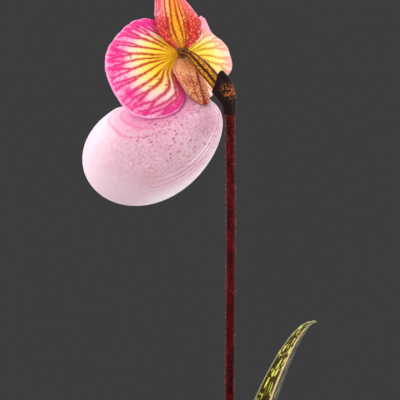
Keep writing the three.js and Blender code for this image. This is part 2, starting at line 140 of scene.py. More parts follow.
# edges sharper than the angle stay crisp
def seatPiece(piece, material, nodes=(), angle=40):
    piece.data.shade_smooth()
    piece.data.set_sharp_from_angle(angle=radians(angle))
    piece.data.materials.append(material)
    if nodes:
        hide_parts(*nodes)
    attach(piece, "root")


# points place(t, s) for t from 0 to 1 and s from -1 to 1; rounded blades have more rows near
# both ends
def gridOf(place, rows, columns, rounded=False):
    grid = []
    for i in range(rows + 1):
        t = (1 - cos(pi * i / rows)) / 2 if rounded else i / rows
        grid.append([(t, 2 * j / columns - 1) for j in range(columns + 1)])
    return grid, [[place(t, s) for t, s in row] for row in grid]


# a closed blade round a grid of points, thinner at its rim; values(t, s) is kept on its points
def makeBlade(name, place, look, material, node, rounded=True, values=None):
    rows, columns = look["rows"], look["columns"]
    grid, points = gridOf(place, rows, columns, rounded)
    upper, lower, kept = [], [], {}
    for i, row in enumerate(grid):
        for j, (t, s) in enumerate(row):
            along = points[min(i + 1, rows)][j] - points[max(i - 1, 0)][j]
            across = points[i][min(j + 1, columns)] - points[i][max(j - 1, 0)]
            edge = min(1 - abs(s), 2 * t, 2 * (1 - t))
            thickness = mix(look["rim"], look["thickness"], smooth(0, 0.12, edge))
            half = along.cross(across).normalized() * thickness / 2
            upper.append(points[i][j] + half)
            lower.append(points[i][j] - half)
            for key, number in {"along": t, "aside": s, **(values(t, s) if values else {})}.items():
                kept.setdefault(key, []).append(number)
    size = len(upper)

    def at(i, j):
        return i * (columns + 1) + j

    faces = []
    for i in range(rows):
        for j in range(columns):
            a, b, c, d = at(i, j), at(i + 1, j), at(i + 1, j + 1), at(i, j + 1)
            faces += [(a, b, c, d), (size + a, size + d, size + c, size + b)]
    border = [at(i, 0) for i in range(rows)] + [at(rows, j) for j in range(columns)]
    border += [at(i, columns) for i in range(rows, 0, -1)]
    border += [at(0, j) for j in range(columns, 0, -1)]
    faces += [(a, size + a, size + b, b) for a, b in zip(border, border[1:] + border[:1])]
    kept = {key: numbers * 2 for key, numbers in kept.items()}
    kept["upper"] = [1.0] * size + [0.0] * size
    seatPiece(meshFrom(name, upper + lower, faces, kept), material, [node], 60)


# a closed skin through rings of points, with a point at each end
def skinRings(rings, first, last):
    sides = len(rings[0])
    points = [first] + [p for ring in rings for p in ring] + [last]
    end = len(points) - 1
    faces = []

    def at(i, j):
        return 1 + i * sides + j % sides

    for j in range(sides):
        faces.append((0, at(0, j + 1), at(0, j)))
        faces.append((end, at(len(rings) - 1, j), at(len(rings) - 1, j + 1)))
    for i in range(len(rings) - 1):
        for j in range(sides):
            faces.append((at(i, j), at(i, j + 1), at(i + 1, j + 1), at(i + 1, j)))
    return points, faces


# which way the side of a rod faces; its curve lies in the plane x = 0
def rodSide(curve, t, angle):
    sideways = Vector((1, 0, 0))
    return sideways * cos(angle) + tangentOf(curve, t).cross(sideways) * sin(angle)


def rodPoint(curve, radiusAt, t, angle):
    return curve(t) + rodSide(curve, t, angle) * radiusAt(t, angle)


def rodRings(curve, radiusAt, steps, sides):
    angles = [2 * pi * j / sides for j in range(sides)]
    return [[rodPoint(curve, radiusAt, i / steps, a) for a in angles] for i in range(steps + 1)]


def turnPoint(radius, angle, z=0.0):
    return Vector((radius * cos(angle), radius * sin(angle), z))


# a round body turned from a profile of (radius, height) with its ends on the axis
def lathe(profile, sides):
    angles = [2 * pi * j / sides for j in range(sides)]
    rings = [[turnPoint(radius, a, z) for a in angles] for radius, z in profile[1:-1]]
    points, faces = skinRings(rings, Vector((0, 0, profile[0][1])), Vector((0, 0, profile[-1][1])))
    return points, [tuple(reversed(face)) for face in faces]


# materials

# from 0 to 255, as a picture has them
def colour(red, green, blue):
    parts = [value / 255 for value in (red, green, blue)]
    return (*(p / 12.92 if p <= 0.04045 else ((p + 0.055) / 1.055) ** 2.4 for p in parts), 1.0)


# a node tree that is being filled; a colour is given as three numbers from 0 to 255
class Recipe:
    def __init__(self, tree):
        self.tree = tree

    def node(self, kind, inputs=None, give=0, **settings):
        node = self.tree.nodes.new("ShaderNode" + kind)
        for key, value in settings.items():
            setattr(node, key, value)
        for key, value in (inputs or {}).items():
            socket = node.inputs[key]
            if isinstance(value, Signal):
                self.tree.links.new(value.socket, socket)
            else:
                socket.default_value = colour(*value) if socket.type == "RGBA" else value
        return Signal(self, node.outputs[give]) if len(node.outputs) else None

    def kept(self, name):
        return self.node("Attribute", give="Fac", attribute_name=name)

    def place(self, scale=(1, 1, 1)):
        centre = self.node("TexCoord", give="Object")
        return self.node("Mapping", {"Vector": centre, "Scale": scale})

    def joined(self, x, y):
        return self.node("CombineXYZ", {"X": x, "Y": y})

    def blend(self, mask, a, b):
        return self.node("Mix", {0: mask, 6: a, 7: b}, 2, data_type="RGBA")


# what a node puts out; what is worked out from it, such as a sum, is a node too
class Signal:
    def __init__(self, recipe, socket):
        self.recipe, self.socket = recipe, socket

    def give(self, name):
        return Signal(self.recipe, self.socket.node.outputs[name])

    def math(self, operation, *others):
        return self.recipe.node("Math", dict(enumerate((self, *others))), operation=operation)

    def __add__(self, other):
        return self.math("ADD", other)

    def __sub__(self, other):
        return self.math("SUBTRACT", other)

    def __rsub__(self, other):
        return self.math("MULTIPLY_ADD", -1.0, other)

    def __mul__(self, other):
        return self.math("MULTIPLY", other)

    def __abs__(self):
        return self.math("ABSOLUTE")

    def between(self, low, high, start=0.0, end=1.0, easing="SMOOTHSTEP"):
        inputs = {"Value": self, "From Min": low, "From Max": high, "To Min": start, "To Max": end}
        return self.recipe.node("MapRange", inputs, interpolation_type=easing)

    # stops are (place, red, green, blue)
    def ramp(self, *stops):
        shade = self.recipe.node("ValToRGB", {"Fac": self})
        elements = shade.socket.node.color_ramp.elements
        while len(elements) < len(stops):
            elements.new(0.5)
        for element, (place, *parts) in zip(elements, stops):
            element.position = place
            element.color = colour(*parts)
        return shade

    # layers of (mask, colour), each over the one before
    def layered(self, *layers):
        shade = self
        for mask, over in layers:
            shade = self.recipe.blend(mask, shade, over)
        return shade

    def cloud(self, scale, detail=3.0, roughness=0.5):
        inputs = {"Vector": self, "Scale": scale, "Detail": detail, "Roughness": roughness}
        return self.recipe.node("TexNoise", inputs)

    def through(self, group, **inputs):
        return self.recipe.node("Group", {"Vector": self, **inputs}, node_tree=group)


# a shader group: make() takes its vector and its numbers, in order, and names what it puts out
def newGroup(name, make, **numbers):
    tree = bpy.data.node_groups.new(name, "ShaderNodeTree")
    newSocket = tree.interface.new_socket
    newSocket("Vector", in_out="INPUT", socket_type="NodeSocketVector")
    for key, value in numbers.items():
        newSocket(key, in_out="INPUT", socket_type="NodeSocketFloat").default_value = value
    recipe = Recipe(tree)
    given = tree.nodes.new("NodeGroupInput").outputs
    made = make(*(Signal(recipe, given[key]) for key in ("Vector", *numbers)))
    for key in made:
        newSocket(key, in_out="OUTPUT", socket_type="NodeSocketFloat")
    put = tree.nodes.new("NodeGroupOutput").inputs
    for key, signal in made.items():
        tree.links.new(signal.socket, put[key])
    return tree


# round dots, one in some of the cells of a lattice
def makeSpeckles(place, scale, size, share, softness):
    recipe = place.recipe
    cells = recipe.node("TexVoronoi", {"Vector": place, "Scale": scale})
    lot = recipe.node("SeparateColor", {"Color": cells.give("Color")})
    radius = size * (lot.give(1) * 0.9 + 0.5)
    dot = cells.between(radius, radius + softness, 1.0, 0.0, "LINEAR")
    return {"Mask": dot * lot.math("LESS_THAN", share)}


# a line that is kept as a distance on the points, in widths of the line, made less even
def makeVeinLine(place, distance, fullness, softness, waver, scale):
    wavering = distance + (place.cloud(scale, 2.0) - 0.5) * waver
    return {"Mask": wavering.between(fullness - softness, fullness + softness, 1.0, 0.0)}


# the tiny domed cells of a petal's or leaf's skin
def makeCellSkin(place, scale, unevenness):
    cells = place.recipe.node("TexVoronoi", {"Vector": place, "Scale": scale})
    broad = place.cloud(scale * 0.12)
    return {"Height": broad * unevenness + (1 - cells), "Tone": broad}


# a wavy net of soft lines
def makeNet(place, scale, width, softness, stir):
    recipe = place.recipe
    swirl = recipe.node("TexNoise", {"Vector": place, "Scale": scale * 0.7, "Detail": 3.0}, "Color")
    swirl = recipe.node("VectorMath", {0: swirl, 1: (0.5, 0.5, 0.5)}, operation="SUBTRACT")
    swirl = recipe.node("VectorMath", {0: swirl, "Scale": stir}, operation="SCALE")
    moved = recipe.node("VectorMath", {0: place, 1: swirl}, operation="ADD")
    edges = recipe.node("TexVoronoi", {"Vector": moved, "Scale": scale}, feature="DISTANCE_TO_EDGE")
    return {"Mask": edges.between(width, width + softness, 1.0, 0.0)}


speckles = newGroup("speckles", makeSpeckles, Scale=500.0, Size=0.2, Share=0.5, Softness=0.1)
veinNumbers = {"Distance": 4.0, "Fullness": 1.0, "Softness": 0.6, "Waver": 0.4, "Scale": 900.0}
veinLine = newGroup("veinLine", makeVeinLine, **veinNumbers)
cellSkin = newGroup("cellSkin", makeCellSkin, Scale=2500.0, Unevenness=0.4)
netLines = newGroup("net", makeNet, Scale=450.0, Width=0.06, Softness=0.12, Stir=0.0012)


def newMaterial(name, paint, *given):
    material = bpy.data.materials.new(name)
    material.use_nodes = True
    material.node_tree.nodes.clear()
    paint(Recipe(material.node_tree), *given)
    return material


def bumpFrom(height, strength, distance):
    inputs = {"Height": height, "Strength": strength, "Distance": distance * mm}
    return height.recipe.node("Bump", inputs)


def dryFinish(shade, rough, **inputs):
    recipe = shade.recipe
    surface = recipe.node("BsdfPrincipled", {"Base Color": shade, "Roughness": rough, **inputs})
    recipe.node("OutputMaterial", {"Surface": surface})


living = {
    "cells": 2200.0, "uneven": 0.8, "rough": (0.42, 0.56), "bump": (0.4, 0.12), "through": 0.2,
    "glow": 0.15, "glowRadius": (1.0, 0.55, 0.45), "glowScale": 0.0012, "gloss": 0.12,
    "sheen": 0.0, "sheenTint": (255, 255, 255), "sheenRough": 0.4,
}


# a soft living surface: some light goes in under the skin and some comes through
def livingFinish(shade, place, raised=None, **changes):
    look, recipe = {**living, **changes}, shade.recipe
    skin = place.through(cellSkin, Scale=look["cells"], Unevenness=look["uneven"])
    normal = bumpFrom(skin + raised if raised else skin, *look["bump"])
    inputs = {
        "Base Color": shade,
        "Roughness": skin.give("Tone").between(0.2, 0.8, *look["rough"]),
        "Normal": normal,
        "Subsurface Weight": look["glow"],
        "Subsurface Radius": look["glowRadius"],
        "Subsurface Scale": look["glowScale"],
        "Specular IOR Level": look["gloss"],
    }
    if look["sheen"]:
        inputs["Sheen Weight"] = look["sheen"]
        inputs["Sheen Roughness"] = look["sheenRough"]
        inputs["Sheen Tint"] = look["sheenTint"]
    surface = recipe.node("BsdfPrincipled", inputs)
    if look["through"]:
        behind = recipe.node("BsdfTranslucent", {"Color": shade, "Normal": normal})
        surface = recipe.node("MixShader", {0: look["through"], 1: surface, 2: behind})
    recipe.node("OutputMaterial", {"Surface": surface})


print("shader groups made")


# camera, light and stage

view = {
    "place": (0.51013, 0.58911, 0.28674),
    "target": (-0.000265, -0.01916, 0.18924),
    "lens": 180,
    "backdrop": (61, 61, 61),
    "sky": (236, 238, 242),
}


def setCamera():
    lens = bpy.data.cameras.new("camera")
    lens.lens = view["lens"]
    lens.sensor_width = 36
    lens.clip_start = 0.01
    camera = bpy.data.objects.new("camera", lens)
    camera.location = view["place"]
    aim = Vector(view["target"]) - Vector(view["place"])
    camera.rotation_euler = aim.to_track_quat("-Z", "Y").to_euler()
    bpy.context.scene.collection.objects.link(camera)
    bpy.context.scene.camera = camera


lamps = {
    "mainLight": {"place": (0.75, 0.25, 0.75), "size": 0.55, "power": 4.9, "tint": (1, 0.99, 0.97)},
    "fillLight": {"place": (-0.35, 0.85, 0.35), "size": 0.6, "power": 6, "tint": (0.96, 0.98, 1)},
    "frontLight": {"place": (0.3, -0.9, 0.6), "size": 0.7, "power": 7, "tint": (1, 0.99, 0.97)},
}


def setLights():
    target = Vector(view["target"])
    for name, lamp in lamps.items():
        light = bpy.data.lights.new(name, "AREA")
        light.shape = "DISK"
        light.size = lamp["size"]
        light.energy = lamp["power"]
        light.color = lamp["tint"]
        holder = bpy.data.objects.new(name, light)
        holder.location = lamp["place"]
        holder.rotation_euler = (target - Vector(lamp["place"])).to_track_quat("-Z", "Y").to_euler()
        bpy.context.scene.collection.objects.link(holder)


# the camera sees a dark grey; everything else is lit by a soft pale one
def setWorld():
    world = bpy.data.worlds.new("studio")
    world.use_nodes = True
    world.node_tree.nodes.clear()
    recipe = Recipe(world.node_tree)
    seen = recipe.node("Background", {"Color": view["backdrop"]})
    light = recipe.node("Background", {"Color": view["sky"], "Strength": 1.0})
    ray = recipe.node("LightPath", give="Is Camera Ray")
    recipe.node("OutputWorld", {"Surface": recipe.node("MixShader", {0: ray, 1: light, 2: seen})})
    bpy.context.scene.world = world


stage = {"radius": 0.42, "clear": 0.17, "sunk": 0.2, "sides": 96}


# a pale round floor that thins out into the backdrop
def paintFloor(recipe):
    centre = recipe.node("TexCoord", give="Object")
    far = recipe.node("VectorMath", {0: centre}, "Value", operation="LENGTH")
    matt = recipe.node("BsdfPrincipled", {"Base Color": (214, 212, 208), "Roughness": 0.9})
    fade = far.between(stage["clear"], stage["radius"])
    both = recipe.node("MixShader", {0: fade, 1: matt, 2: recipe.node("BsdfTransparent")})
    recipe.node("OutputMaterial", {"Surface": both})


def makeFloor():
    sides, sunk = stage["sides"], -stage["sunk"]
    points = [Vector((0, 0, sunk))]
    points += [turnPoint(stage["radius"] / mm, 2 * pi * j / sides, sunk) for j in range(sides)]
    floor = meshFrom("floor", points, [(0, 1 + j, 1 + (j + 1) % sides) for j in range(sides)])
    floor.data.materials.append(newMaterial("paleFloor", paintFloor))


bpy.context.scene.view_settings.view_transform = "Standard"
setCamera()
setLights()
setWorld()
makeFloor()
print("camera, lights and floor set")


# the pouch, drawn out at the back of its mouth into the claw that holds it

pouch = {
    "centre": (17.9, -38.6),
    "length": 38,
    "depth": 20.6,
    "halfWidth": 22.8,
    "tilt": radians(23.6),
    "swell": 0.25,
    "bend": 0.7,
    "wall": 1.0,
    "rim": 0.12,
    "rings": 150,
    "innerRings": 60,
    "sides": 256,
}
claw = {"from": radians(28.5), "spread": radians(38), "rise": 0.61, "width": 0.17, "widening": 0.57}
mouth = {"centre": radians(10), "long": radians(18.5), "wide": radians(20)}
lipRoll = {"drop": 3.4, "band": radians(17)}


def mouthEdge(around):
    return 1 / hypot(cos(around) / mouth["long"], sin(around) / mouth["wide"])


# away is the angle from the middle of the mouth, and around goes once round it, from the back
def pouchPoint(away, around):
    sinC, cosC = sin(mouth["centre"]), cos(mouth["centre"])
    along = -cos(away) * sinC - sin(away) * cos(around) * cosC
    over = cos(away) * cosC - sin(away) * cos(around) * sinC
    aside = sin(away) * sin(around)
    tipped = atan2(-along, over)
    back = clamp((tipped - claw["from"]) / claw["spread"])
    width = claw["width"] + claw["widening"] * back
    pull = smooth(0.1, claw["from"], tipped) * exp(-((aside / width) ** 2)) * (1 - back) ** 2
    size = 1 + claw["rise"] * pull
    swell = 1 + pouch["swell"] * along
    forward = size * pouch["length"] * along
    up = size * (pouch["depth"] * over * swell + pouch["bend"] * along**2)
    rim = 1 - smooth(0, lipRoll["band"], away - mouthEdge(around))
    roll = lipRoll["drop"] * rim**2 * (1 - pull)
    sinT, cosT = sin(pouch["tilt"]), cos(pouch["tilt"])
    return flowerPoint(
        size * pouch["halfWidth"] * aside * swell,
        pouch["centre"][0] + forward * cosT + up * sinT,
        pouch["centre"][1] - forward * sinT + up * cosT - roll,
    )


def pouchInside(away, around, depth):
    step = 1e-3
    down = pouchPoint(away + step, around) - pouchPoint(away - step, around)
    aside = pouchPoint(away, around + step) - pouchPoint(away, around - step)
    return pouchPoint(away, around) + down.cross(aside).normalized() * depth


# places on the pouch are angles away from its mouth and around it, from the back: soft folds run
# from the claw down the right side and under it, with painted highlight on their crests and painted
# shade in their troughs; beyond them, and away from the back, lies a paler band of painted rim
# light;
# faint arcs of painted shadow, from the rolled-in rim seen through the wall, curve round each
# shoulder; and the dots keep to the back
folds = {
    "away": radians(92), "around": radians(42), "middle": 63, "apart": 6, "count": 3.2,
    "litHem": 24, "height": 0.1,
}
shadowArcs = {"away": radians(50), "around": radians(52), "sizes": (14, 22, 30, 40)}
spots = {"away": radians(86), "around": radians(21)}
pouchSize = 29  # about its radius, in mm


def pouchward(away, around):
    return Vector((sin(away) * cos(around), sin(away) * sin(around), cos(away)))


# the pouch spread flat round a place on it: how far left, down and away a point is, in degrees
def flatFrom(place, away, around):
    middle = pouchward(place["away"], place["around"])
    aside = pouchward(pi / 2, place["around"] + pi / 2)
    toward = pouchward(away, around)
    apart = degrees(toward.angle(middle))
    flat = toward - middle * toward.dot(middle)
    reach = apart / max(flat.length, 1e-6)
    return flat.dot(aside) * reach, flat.dot(aside.cross(middle)) * reach, apart


def pouchMarks(away, around):
    left, down, apart = flatFrom(spots, away, around)
    around = atan2(sin(around), cos(around))
    foldLeft, foldDown, fromFolds = flatFrom(folds, away, around)
    shoulder = pouchward(shadowArcs["away"], shadowArcs["around"])
    fromShadowArcs = degrees(pouchward(away, abs(around)).angle(shoulder))
    away, turn = degrees(away), degrees(around)
    low = smooth(40, 66, away)
    lowRight = smooth(-0.3, 0.9, (0.3 * foldDown - 0.95 * foldLeft) / max(fromFolds, 1))
    fold = (fromFolds - folds["middle"] + 2 * sin(0.08 * foldDown)) / folds["apart"]
    folded = 1 - smooth(folds["count"] - 1, folds["count"], abs(fold))
    beyond = smooth(folds["middle"], folds["middle"] + folds["litHem"], fromFolds)
    wobble = 1.4 * sin(0.09 * turn) + 1.2 * sin(0.21 * away)
    nearest = min(abs(fromShadowArcs + wobble - size) * (1 + 0.03 * size) for size in shadowArcs["sizes"])
    return {
        "fold": fold,
        "folded": folded * lowRight * low,
        "litHem": smooth(0, 0.4, lowRight) * beyond * low,
        "dotted": 1 - smooth(40, 74, apart),
        "blushed": 1 - smooth(16, 44, fromShadowArcs),
        "arc": nearest + 5 * (1 - smooth(36, 60, abs(turn))),
        # paler far from the back of the pouch: painted rim light
        "pale": smooth(60, 100, apart),
        "flatX": radians(left) * pouchSize,
        "flatY": radians(down) * pouchSize,
    }


def paintPouch(recipe):
    place, fold = recipe.place(), recipe.kept("fold")
    flat = recipe.joined(recipe.kept("flatX"), recipe.kept("flatY"))
    broad = place.cloud(60.0, 4.0)
    wave = (fold * (2 * pi)).math("COSINE")
    folded = wave.between(-0.6, 1.0) * recipe.kept("folded")
    net = place.through(netLines, Scale=260.0, Width=0.0, Softness=0.4, Stir=0.004)
    small = flat.through(speckles, Scale=0.46, Size=0.17, Share=0.85, Softness=0.15)
    fine = flat.through(speckles, Scale=0.7, Size=0.14, Share=0.5, Softness=0.16)
    blotches = place.through(speckles, Scale=480.0, Size=0.3, Share=0.7, Softness=0.15)
    lining = recipe.blend(blotches, (240, 208, 204), (160, 44, 92))
    shade = broad.ramp((0.32, 212, 156, 174), (0.5, 222, 174, 190), (0.68, 230, 192, 204)).layered(
        (place.cloud(900.0, 3.0, 0.7).between(0.4, 0.7, 0.0, 0.5), (244, 222, 226)),
        # paler far from the back: painted rim light on the sides and underside
        (recipe.kept("pale") * broad.between(0.25, 0.6, 0.6, 1.0), (244, 216, 227)),
        (recipe.kept("blushed") * broad.between(0.25, 0.65, 0.55, 1.0), (222, 112, 168)),
        # faint pink arcs: painted shadow of the rolled-in rim, seen through the thin wall
        (recipe.kept("arc").between(4.2, 0.0) * broad.between(0.3, 0.7, 0.4, 0.8), (222, 96, 156)),
        (net * 0.12, (214, 140, 166)),
        # painted highlight on the fold crests, then painted shade in the fold troughs
        (folded * broad.between(0.3, 0.65, 0.35, 0.95), (250, 232, 240)),
        (wave.between(-0.2, -1.0) * recipe.kept("folded") * 0.4, (216, 160, 184)),
        # a near white band low on the right, beyond the folds: painted rim light
        (recipe.kept("litHem") * 0.75, (252, 238, 245)),
        (recipe.kept("rim") * 0.8, (250, 230, 240)),
        (small.math("MAXIMUM", fine) * recipe.kept("dotted") * 0.78, (188, 64, 112)),
        (recipe.kept("inward"), lining),
    )
    finish = {"cells": 1700.0, "uneven": 1.2, "rough": (0.4, 0.52), "bump": (0.35, 0.12)}
    finish.update({"glow": 0.3, "sheen": 0.4, "sheenTint": (255, 244, 250)})
    livingFinish(shade, place, folded * 2.5, **finish)


def makePouch():
    def shares(count):
        return [1 - ((i + 1) / count) ** 0.9 for i in range(count)]

    values = {}

    def keep(found):
        for key, number in found.items():
            values.setdefault(key, []).append(number)

    def ring(share, depth):
        made = []
        for j in range(pouch["sides"]):
            around = -2 * pi * j / pouch["sides"]
            away = mix(mouthEdge(around), pi, share)
            marks = pouchMarks(away, around)
            lift = folds["height"] * marks["folded"] * cos(2 * pi * marks["fold"])
            made.append(pouchInside(away, around, depth or -lift))
            rim = 1 - smooth(0, pouch["rim"], away - mouthEdge(around))
            keep({**marks, "rim": rim, "inward": 1.0 if depth else 0.0})
        return made

    pole = pouchPoint(pi - 1e-4, 0)
    keep({**pouchMarks(pi, 0), "rim": 0.0, "inward": 0.0})
    outer = [ring(share, 0) for share in shares(pouch["rings"])]
    inner = [ring(share, pouch["wall"]) for share in reversed(shares(pouch["innerRings"]))]
    keep({**pouchMarks(pi, 0), "rim": 0.0, "inward": 1.0})
    points, faces = skinRings(outer + inner, pole, pole + Vector((0, 0, pouch["wall"])))
    piece = meshFrom("pouch", points, faces, values)
    seatPiece(piece, newMaterial("pouchSkin", paintPouch), ["lip"], 60)


makePouch()
print("pouch made")


# blades that lie over the pieces in front of them, pushed back on the same coarse grid as the
# solids

drape = {"rows": 14, "columns": 10, "reach": 1, "standOff": 0.95}


def treeOf(names):
    points, faces = [], []
    for name in names:
        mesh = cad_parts[name].data
        start = len(points)
        points += [v.co / mm for v in mesh.vertices]
        faces += [[start + v for v in polygon.vertices] for polygon in mesh.polygons]
    return BVHTree.FromPolygons(points, faces)


def withNeighbours(field, combine):
    made = []
    for i, row in enumerate(field):
        made.append([])
        for j in range(len(row)):
            near = [line[max(j - 1, 0) : j + 2] for line in field[max(i - 1, 0) : i + 2]]
            made[i].append(combine([value for line in near for value in line]))
    return made


def pushedBack(place, names):
    tree = treeOf(names)
    grid, points = gridOf(place, drape["rows"], drape["columns"], True)
    reach = drape["reach"]
    field = []
    for row in points:
        field.append([])
        for point in row:
            push = 0.0
            for x, z in ((0, 0), (reach, 0), (-reach, 0), (0, reach), (0, -reach)):
                start = Vector((point.x + x, 200, point.z + z))
                hit = tree.ray_cast(start, Vector((0, -1, 0)))[0]
                if hit:
                    push = max(push, hit.y + drape["standOff"] - point.y)
            field[-1].append(push)
    field = withNeighbours(field, max)
    field = withNeighbours(field, lambda near: sum(near) / len(near))

    def cubic(values, w):
        a, b, c, d = values
        return b + 0.5 * w * (c - a + w * (2 * a - 5 * b + 4 * c - d + w * (3 * (b - c) + d - a)))

    def pushAt(t, s):
        row = acos(clamp(1 - 2 * t, -1, 1)) / pi * drape["rows"]
        column = (s + 1) / 2 * drape["columns"]
        i, j = min(int(row), drape["rows"] - 1), min(int(column), drape["columns"] - 1)
        lines = []
        for di in range(-1, 3):
            line = field[int(clamp(i + di, 0, drape["rows"]))]
            picked = [line[int(clamp(j + dj, 0, drape["columns"]))] for dj in range(-1, 3)]
            lines.append(cubic(picked, column - j))
        return cubic(lines, row - i)

    return lambda t, s: place(t, s) + Vector((0, pushAt(t, s), 0))


# the petals

petal = {
    "base": (2.1, -1), "stand": 1.4, "sweep": 0.29, "wave": 0.5, "thickness": 0.55, "rim": 0.25,
    "rows": 150, "columns": 140,
}
petals = {
    "leftPetal": {
        "node": "petal_left",
        "side": 1,
        "length": 30.2,
        "droop": radians(13),
        "clasp": 11.5,
        "up": lineThrough([
            (0, 2.2), (0.06, 8), (0.14, 13), (0.25, 16.2), (0.4, 17.3), (0.55, 16.6), (0.7, 14.6),
            (0.82, 11.6), (0.92, 8), (0.98, 3.8), (1, 0.8),
        ]),
        "down": lineThrough([
            (0, 1.6), (0.08, 5), (0.18, 9.4), (0.28, 13.4), (0.4, 17.4), (0.5, 19.4), (0.62, 20.6),
            (0.75, 19.3), (0.86, 15.6), (0.94, 10.3), (0.985, 5), (1, 0.8),
        ]),
        "seed": 11,
    },
    "rightPetal": {
        "node": "petal_right",
        "side": -1,
        "length": 36.1,
        "droop": radians(20),
        "clasp": -9,
        "up": lineThrough([
            (0, 2.2), (0.04, 10), (0.09, 15.8), (0.16, 17.4), (0.24, 16.4), (0.35, 14.4),
            (0.5, 13.3), (0.67, 12.1), (0.82, 9.4), (0.93, 5.8), (0.985, 2.8), (1, 0.8),
        ]),
        "down": lineThrough([
            (0, 1.6), (0.08, 4.4), (0.18, 7.6), (0.3, 10.6), (0.45, 13), (0.6, 13.6), (0.75, 12.4),
            (0.87, 9.2), (0.95, 5.6), (0.99, 2.7), (1, 0.8),
        ]),
        "seed": 23,
    },
}
veins = {
    "angles": [86, 75, 63, 51, 40, 29, 18, 7, -4, -15, -25, -34, -42, -50, -57, -64, -71, -78, -85],
    "step": 0.35,
    "calm": 0.28,
    "sway": 0.16,
    "forks": [(0.52, 0.76), (0.8, 0.94)],
    "spread": 20,
    "widths": lineThrough([(0, 0.12), (0.2, 0.3), (0.45, 0.5), (0.75, 0.48), (1, 0.34)]),
    "crossings": 22,
    "twigs": 110,
}


def acrossPetal(shape, t, s):
    return (shape["up"] if s > 0 else shape["down"])(t) * s


def petalPlace(shape):
    cosD, sinD = cos(shape["droop"]), sin(shape["droop"])

    def place(t, s):
        along, across = shape["length"] * t, acrossPetal(shape, t, s)
        x = petal["base"][0] + along * cosD + across * sinD
        z = petal["base"][1] - along * sinD + across * cosD
        low = smooth(-6, -18, z) * (1 - smooth(9, 22, x) if shape["clasp"] > 0 else 1)
        wave = petal["wave"] * s**2 * sin(4.4 * pi * t + 1.5 * s)
        forward = petal["stand"] + petal["sweep"] * x - shape["clasp"] * low + wave
        return flowerPoint(shape["side"] * x, forward, z)

    return place


# the petal's outline seen from its base, as the distance to the rim at an angle
def rimAt(shape):
    turns = np.linspace(-pi * 0.75, pi * 0.75, 181)
    reach = np.zeros(len(turns))
    for t in [i / 400 for i in range(401)]:
        for s in (1, -1):
            along, across = shape["length"] * t, acrossPetal(shape, t, s)
            place = np.searchsorted(turns, atan2(across, along))
            if place < len(turns):
                reach[place] = max(reach[place], hypot(along, across))
    known = reach > 0
    return lambda turn: float(np.interp(turn, turns[known], reach[known]))


def dotTree(dots):
    tree = KDTree(len(dots))
    for i, (x, y, *_) in enumerate(dots):
        tree.insert((x, y, 0), i)
    tree.balance()
    return tree


# veins fan out from the petal's base, fork near the rim, and are joined by short cross veins;
# the lower ones have side twigs; each dot along them is (x, y, width, share of the way to the rim)
def growVeins(shape):
    dice = random.Random(shape["seed"])
    rim = rimAt(shape)
    dots, ends, extra = [], [], []
    for angle in veins["angles"]:
        aim = radians(angle + dice.uniform(-2, 2))
        ends.append((0.8 * cos(aim), 0.8 * sin(aim), aim, aim, 0, dice.uniform(0.85, 1.15)))
    while ends:
        x, y, heading, aim, forked, size = ends.pop()
        forkAt = dice.uniform(*veins["forks"][forked]) if forked < len(veins["forks"]) else 9
        sway = dice.uniform(0, 6)
        share = hypot(x, y) / rim(atan2(y, x))
        while share <= 1.0:
            dots.append((x, y, veins["widths"](share) * size, share))
            if share > forkAt:
                turn = radians(veins["spread"]) * dice.uniform(0.6, 1.2)
                for side in (-turn, turn):
                    onward = (heading + side, aim + side * 0.4, forked + 1, size * 0.85)
                    ends.append((x, y, *onward))
                break
            wanted = aim * (1 - veins["calm"] * share)
            wanted += veins["sway"] * (0.3 + share) * sin(sway + 13 * share)
            heading += (wanted - heading) * 0.14
            x += veins["step"] * cos(heading)
            y += veins["step"] * sin(heading)
            share = hypot(x, y) / rim(atan2(y, x))
    tree = dotTree(dots)

    def branch(dot, turn, length, stopAt):
        x, y, width, share = dot
        for step in range(2, length):
            turn += dice.uniform(-0.12, 0.12)
            x, y = x + 0.3 * cos(turn), y + 0.3 * sin(turn)
            extra.append((x, y, width * mix(0.75, 0.45, step / length), share))
            if step > 4 and tree.find((x, y, 0))[2] < stopAt:
                break

    for _ in range(veins["crossings"]):
        dot = dots[dice.randrange(len(dots))]
        outward = atan2(dot[1], dot[0])
        if dot[3] > 0.62 and outward > -0.5:
            across = outward + pi / 2 * dice.choice((-1, 1))
            branch(dot, across + dice.uniform(-0.7, 0.7), 9, 0.3)
    for _ in range(veins["twigs"]):
        dot = dots[dice.randrange(len(dots))]
        outward = atan2(dot[1], dot[0])
        if dot[3] > 0.4 and outward < -0.45:
            branch(dot, outward + dice.choice((-0.75, 0.75)), dice.randrange(5, 10), 0)
    return dots + extra, rim


def veinValues(shape):
    dots, rim = growVeins(shape)
    tree = dotTree(dots)

    def values(t, s):
        x, y = shape["length"] * t, acrossPetal(shape, t, s)
        near = [distance / dots[i][2] for _, i, distance in tree.find_n((x, y, 0), 3)]
        turn = atan2(y, x)
        outward = clamp(hypot(x, y) / rim(turn), 0, 1.1)
        return {"vein": min(near + [9.0]), "outward": outward, "fan": turn / pi}

    return values


